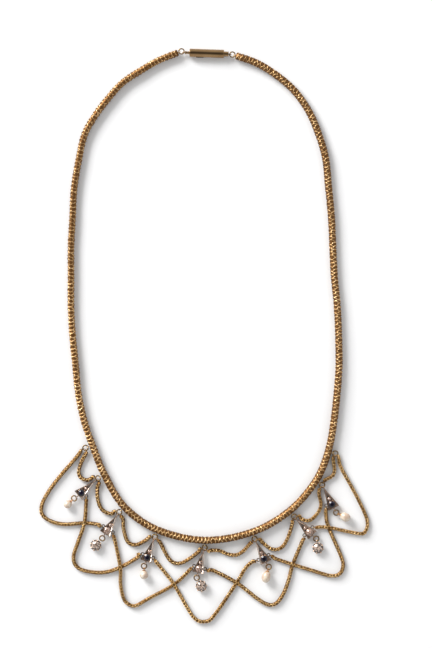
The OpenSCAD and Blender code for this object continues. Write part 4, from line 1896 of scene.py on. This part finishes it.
@dataclass
class ClawDrop:
    """A round stone in an open cup with eight claws.

    Attributes:
        setting: The setting that it hangs from.
        stone: The stone's diameter.
        claws: How many claws there are.
        cup_out: How much farther out than the stone the cup's rim is.
        cup_wall: Thickness of the cup's wall.
        cup_h: Height of the cup.
        foot: Radius of the cup's foot, against its rim's.
        cut: How deep the rim is cut between the claws.
        girdle: Height of the stone's girdle.
        table: Width of the stone's table, against its diameter.
        stone_turn: How far the stone is turned off the way that it hangs, in degrees.
        bar_r: Radius of the bar between loop and cup.
    """

    setting: Setting
    stone: float = 3.1
    claws: int = 8
    cup_out: float = 0.3
    cup_wall: float = 0.25
    cup_h: float = 1.45
    foot: float = 0.62
    cut: float = 0.42
    girdle: float = 1.5
    table: float = 0.5
    stone_turn: float = 22.5
    bar_r: float = 0.17

    # A claw's wire: how far out in shares of the rim's radius, how far in from there and how high,
    # its radius at even steps along it, its longest step and the sides of its section
    CLAW = (
        (0.72, 0, 0.35), (0.9, 0, 0.95), (1, 0, 1.35), (1, 0.02, 1.66), (1, 0.16, 1.86), (1, 0.36, 1.9),
    )
    CLAW_RADII = (0.15, 0.17, 0.22, 0.27, 0.25, 0.13)
    CLAW_STEP = 0.12
    CLAW_SIDES = 8

    # The cup's crest in its lower half, and how much more it is at the rim
    CUP_CREST = (0.2, 0.4)

    @property
    def cup_r(self) -> float:
        """Radius of the cup's rim."""
        return self.stone / 2 + self.cup_out

    @property
    def foot_r(self) -> float:
        """Radius of the cup's foot."""
        return self.cup_r * self.foot

    @property
    def cup_at(self) -> float:
        """The cup's middle, from the loop."""
        return LOOP_REACH - FUSE / 2 + self.cup_r

    def _cup(self) -> Solid:
        """The tapering cup, its rim cut down between the claws.

        Returns:
            The cup about its own middle.
        """
        foot, rim, wall, high = self.foot_r, self.cup_r, self.cup_wall, self.cup_h
        waist = (foot + rim) / 2
        outline = (
            (foot - 0.03, 0.0), (foot, 0.05), (waist, high / 2), (rim - 0.02, high - 0.06),
            (rim - 0.06, high), (rim - wall + 0.04, high), (rim - wall, high - 0.06),
            (waist - wall, high / 2), (foot - wall, 0.0),
        )
        cup = turned_form(outline, sides=self.claws * 8, closed=True)
        turn = np.arctan2(cup.points[:, 1], cup.points[:, 0])
        between = 0.5 + 0.5 * np.cos(self.claws * turn)
        upper = np.clip((cup.points[:, 2] - high / 2) / (high / 2), 0, 1)
        cup.points[:, 2] -= self.cut * between * upper
        least, more = self.CUP_CREST
        cup.crest[:] = least + more * upper
        return cup

    def _claw(self, angle: float) -> Solid:
        """One claw, from the cup's wall over the stone's edge.

        Args:
            angle: Where it stands round the cup, in degrees.

        Returns:
            The claw.
        """
        path = np.array([(self.cup_r * share - inwards, 0, z) for share, inwards, z in self.CLAW])
        curve = smooth_curve(path, self.CLAW_STEP)
        even, steps = np.linspace(0, 1, len(curve)), np.linspace(0, 1, len(self.CLAW_RADII))
        radii = np.interp(even, steps, self.CLAW_RADII)
        turn = full_turn(self.CLAW_SIDES)
        across = np.array([0, 1.0, 0])
        rows = [
            p + r * (np.cos(turn)[:, None] * across + np.sin(turn)[:, None] * np.cross(d, across))
            for p, d, r in zip(curve, unit_rows(np.gradient(curve, axis=0)), radii)
        ]
        size = len(rows), self.CLAW_SIDES
        faces = flipped(grid_faces(*size) + end_faces(*size))
        return Solid.proud(np.concatenate(rows), faces).moved((0, 0, 0), angle)

    def build(self, finishes: dict[str, bpy.types.Material]) -> None:
        """Builds the mount and its stone.

        Args:
            finishes: The materials by name.
        """
        i, hold, way = self.setting.number, self.setting.drop_hold(), self.setting.plan.drop_way
        middle = hold + self.cup_at * toward(way)
        claws = [self._claw(360 / self.claws * (s + 0.5)) for s in range(self.claws)]
        cup = Solid.joined([self._cup(), *claws]).moved((*middle, 0), way)
        slope = (self.cup_r - self.foot_r) * RING_Z / self.cup_h
        bar = stem(LOOP_R, self.cup_at - self.foot_r - slope + self.cup_wall / 2, self.bar_r)
        mount = Solid.joined([cup, bar.moved((*hold, 0), way), upright_loop(hold, way, RING_Z)])
        mount.piece(f"claw_mount_{i}", finishes["claw_metal"], [f"drop_mount_{i}"], "white_metal")
        stone = Brilliant(self.stone, table=self.table)
        cut = stone.build((*middle, self.girdle), way + self.stone_turn)
        cut.piece(f"drop_stone_{i}", finishes["claw_stone"], [f"drop_{i}"], "diamond", smooth=False)


@dataclass
class Necklace:
    """The whole necklace: clasp, chains, rings, settings and drops.

    Attributes:
        clasp: The clasp.
        settings: The settings, from the left.
    """

    clasp: Clasp = field(default_factory=Clasp)
    settings: list[Setting] = field(default_factory=lambda: [Setting(i + 1) for i in range(len(PLANS))])

    def _swags(self) -> list[ThinChain]:
        """The short chains between neighbouring rings, each with its own turn and unevenness.

        Returns:
            The swags, from the left.
        """
        return [
            ThinChain(f"swag_{i}", RingHold(hanger(i), RING_R, start), route,
                      RingHold(hanger(i + 1), RING_R, finish), laps=(), turn=20 + 9 * i, seed=i)
            for i, (start, route, finish) in enumerate(SWAGS, 1)
        ]

    def _festoons(self) -> list[ThinChain]:
        """The long chains that cross below the settings, each with its own turn and unevenness.

        Returns:
            The festoons, from the left.
        """
        eye_r = self.settings[0].eye_r
        chains = []
        for i, (start, route, finish) in enumerate(FESTOONS, 1):
            begin = RingHold(hanger(1), RING_R, start)
            end = RingHold(hanger(HANGERS), RING_R, finish)
            laps = []
            if i > 1:
                begin = RingHold(self.settings[i - 2].eye(1), eye_r, start)
                laps.append(Lap(CROSSINGS[i - 2], upper=True))
            if i < len(FESTOONS):
                end = RingHold(self.settings[i].eye(-1), eye_r, finish)
                laps.append(Lap(CROSSINGS[i - 1], upper=False))
            chains.append(ThinChain(
                f"festoon_{i}", begin, route, end, tuple(laps), turn=10 + 23 * (i % 4), seed=20 + i))
        return chains

    def build(self, finishes: dict[str, bpy.types.Material]) -> None:
        """Builds and dresses everything in order.

        Args:
            finishes: The materials by name.
        """
        self.clasp.build(finishes["clasp_gold"], finishes["gold_wire"])
        MainChain(self.clasp).build(finishes["woven_gold"])
        for chain in self._swags() + self._festoons():
            chain.build(finishes["woven_thin_gold"])
        for i in range(1, HANGERS + 1):
            dress_node(f"hanger_ring_{i}", finishes["gold_wire"])
        dress_node("drop_rings", finishes["gold_wire"])
        for setting in self.settings:
            setting.build(finishes)
            hung = PearlDrop if setting.plan.drop is Drop.PEARL else ClawDrop
            hung(setting).build(finishes)
        upper = Solid.joined([setting.upper_stone() for setting in self.settings])
        upper.piece("upper_stones", finishes["diamond"], ["small_stones"], "diamond", smooth=False)


@dataclass(frozen=True)
class SoftBox:
    """A large square light, turned to the necklace.

    Attributes:
        azimuth: The direction it stands in, in degrees from +X.
        height: Its height above the horizon, in degrees.
        far: How far off it stands, in metres.
        size: Its side in metres.
        power: Its power in watts.
    """

    azimuth: float = 133
    height: float = 25.5
    far: float = 1.6
    size: float = 0.8
    power: float = 39.0

    def build(self) -> None:
        """Adds the light to the scene."""
        data = bpy.data.lights.new("key", "AREA")
        data.shape = "SQUARE"
        data.size = self.size
        data.energy = self.power
        light = bpy.data.objects.new("key", data)
        flat = toward(self.azimuth) * math.cos(math.radians(self.height))
        light.location = Vector((*flat, math.sin(math.radians(self.height)))) * self.far
        light.rotation_euler = light.location.to_track_quat("Z", "Y").to_euler()
        bpy.context.scene.collection.objects.link(light)


@dataclass
class Studio:
    """The floor, the light and the camera.

    Attributes:
        middle: The place under the camera, in millimetres.
        frame_height: The height that the picture takes in, in millimetres.
        lens: The lens in millimetres.
        sensor: The larger side of the camera's sensor, in millimetres.
        near: The nearest that the camera sees, in metres.
        key: The light.
        zenith: Brightness straight above.
        horizon: Brightness near the horizon.
        even_to: Sine of the height up to which the room is as bright as the horizon.
        paper: The floor's edges, as distance from its middle and height in millimetres.
        paper_sides: Sides of the floor.
    """

    middle: Point = (4.284, 4.012)
    frame_height: float = 220.32
    lens: float = 120.0
    sensor: float = 36.0
    near: float = 0.01
    key: SoftBox = SoftBox()
    zenith: float = 0.12
    horizon: float = 1.0
    even_to: float = 0.6
    paper: tuple[Point, ...] = ((0.001, 0.0), (200, 0.0), (1200, 0.0), (2500, 0.0), (2510, -4.0))
    paper_sides: int = 48

    def camera(self) -> None:
        """A camera straight above, its top towards +Y."""
        data = bpy.data.cameras.new("camera")
        data.lens = self.lens
        data.sensor_width = self.sensor
        data.clip_start = self.near
        camera = bpy.data.objects.new("camera", data)
        far = self.frame_height * MM * self.lens / self.sensor
        camera.location = (self.middle[0] * MM, self.middle[1] * MM, far + RING_Z * MM)
        bpy.context.scene.collection.objects.link(camera)
        bpy.context.scene.camera = camera

    def surroundings(self) -> None:
        """A white room round a darker space above the camera."""
        world = bpy.data.worlds.new("studio")
        world.use_nodes = True
        nodes = Nodes(world.node_tree)
        at = nodes.add("ShaderNodeTexCoord").outputs["Generated"]
        up = nodes.add("ShaderNodeSeparateXYZ", inputs={"Vector": at}).outputs["Z"]
        bright = nodes.ranged(up, self.even_to, 1.0, self.horizon, self.zenith)
        back = nodes.add("ShaderNodeBackground", inputs={"Color": bright})
        nodes.add("ShaderNodeOutputWorld", inputs={"Surface": back.outputs["Background"]})
        bpy.context.scene.world = world
        bpy.context.scene.view_settings.view_transform = "Standard"

    def floor(self, material: bpy.types.Material) -> None:
        """A wide sheet of paper that turns down at its far edge.

        Args:
            material: The paper.
        """
        sides = self.paper_sides
        points = turned_rows(self.paper, sides)
        faces = flipped(grid_faces(len(self.paper), sides)) + [tuple(range(sides))]
        mesh = bpy.data.meshes.new("paper")
        mesh.from_pydata((points * MM).tolist(), [], faces)
        mesh.materials.append(material)
        sheet = bpy.data.objects.new("paper", mesh)
        bpy.context.scene.collection.objects.link(sheet)

    def build(self, paper: bpy.types.Material) -> None:
        """Sets up the camera, the light and the floor.

        Args:
            paper: The floor's finish.
        """
        self.camera()
        self.key.build()
        self.surroundings()
        self.floor(paper)


def write_sizes() -> None:
    """Brings the view layer up to date."""
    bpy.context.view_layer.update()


def main() -> None:
    """Builds and dresses the necklace, its light and its camera."""
    logging.basicConfig(level=logging.INFO, format="%(message)s")
    effects = Effects()
    wanted = (WOVEN_GOLD, THIN_GOLD, WIRE_GOLD, CLASP_GOLD, CAP_GOLD, WHITE_METAL, CLAW_METAL,
              SAPPHIRE, DIAMOND, CLAW_STONE, PEARL)
    finishes = {finish.name: finish.material(effects) for finish in wanted}
    Studio().build(PAPER.material(effects))
    Necklace().build(finishes)
    write_sizes()


if __name__ == "__main__":
    main()
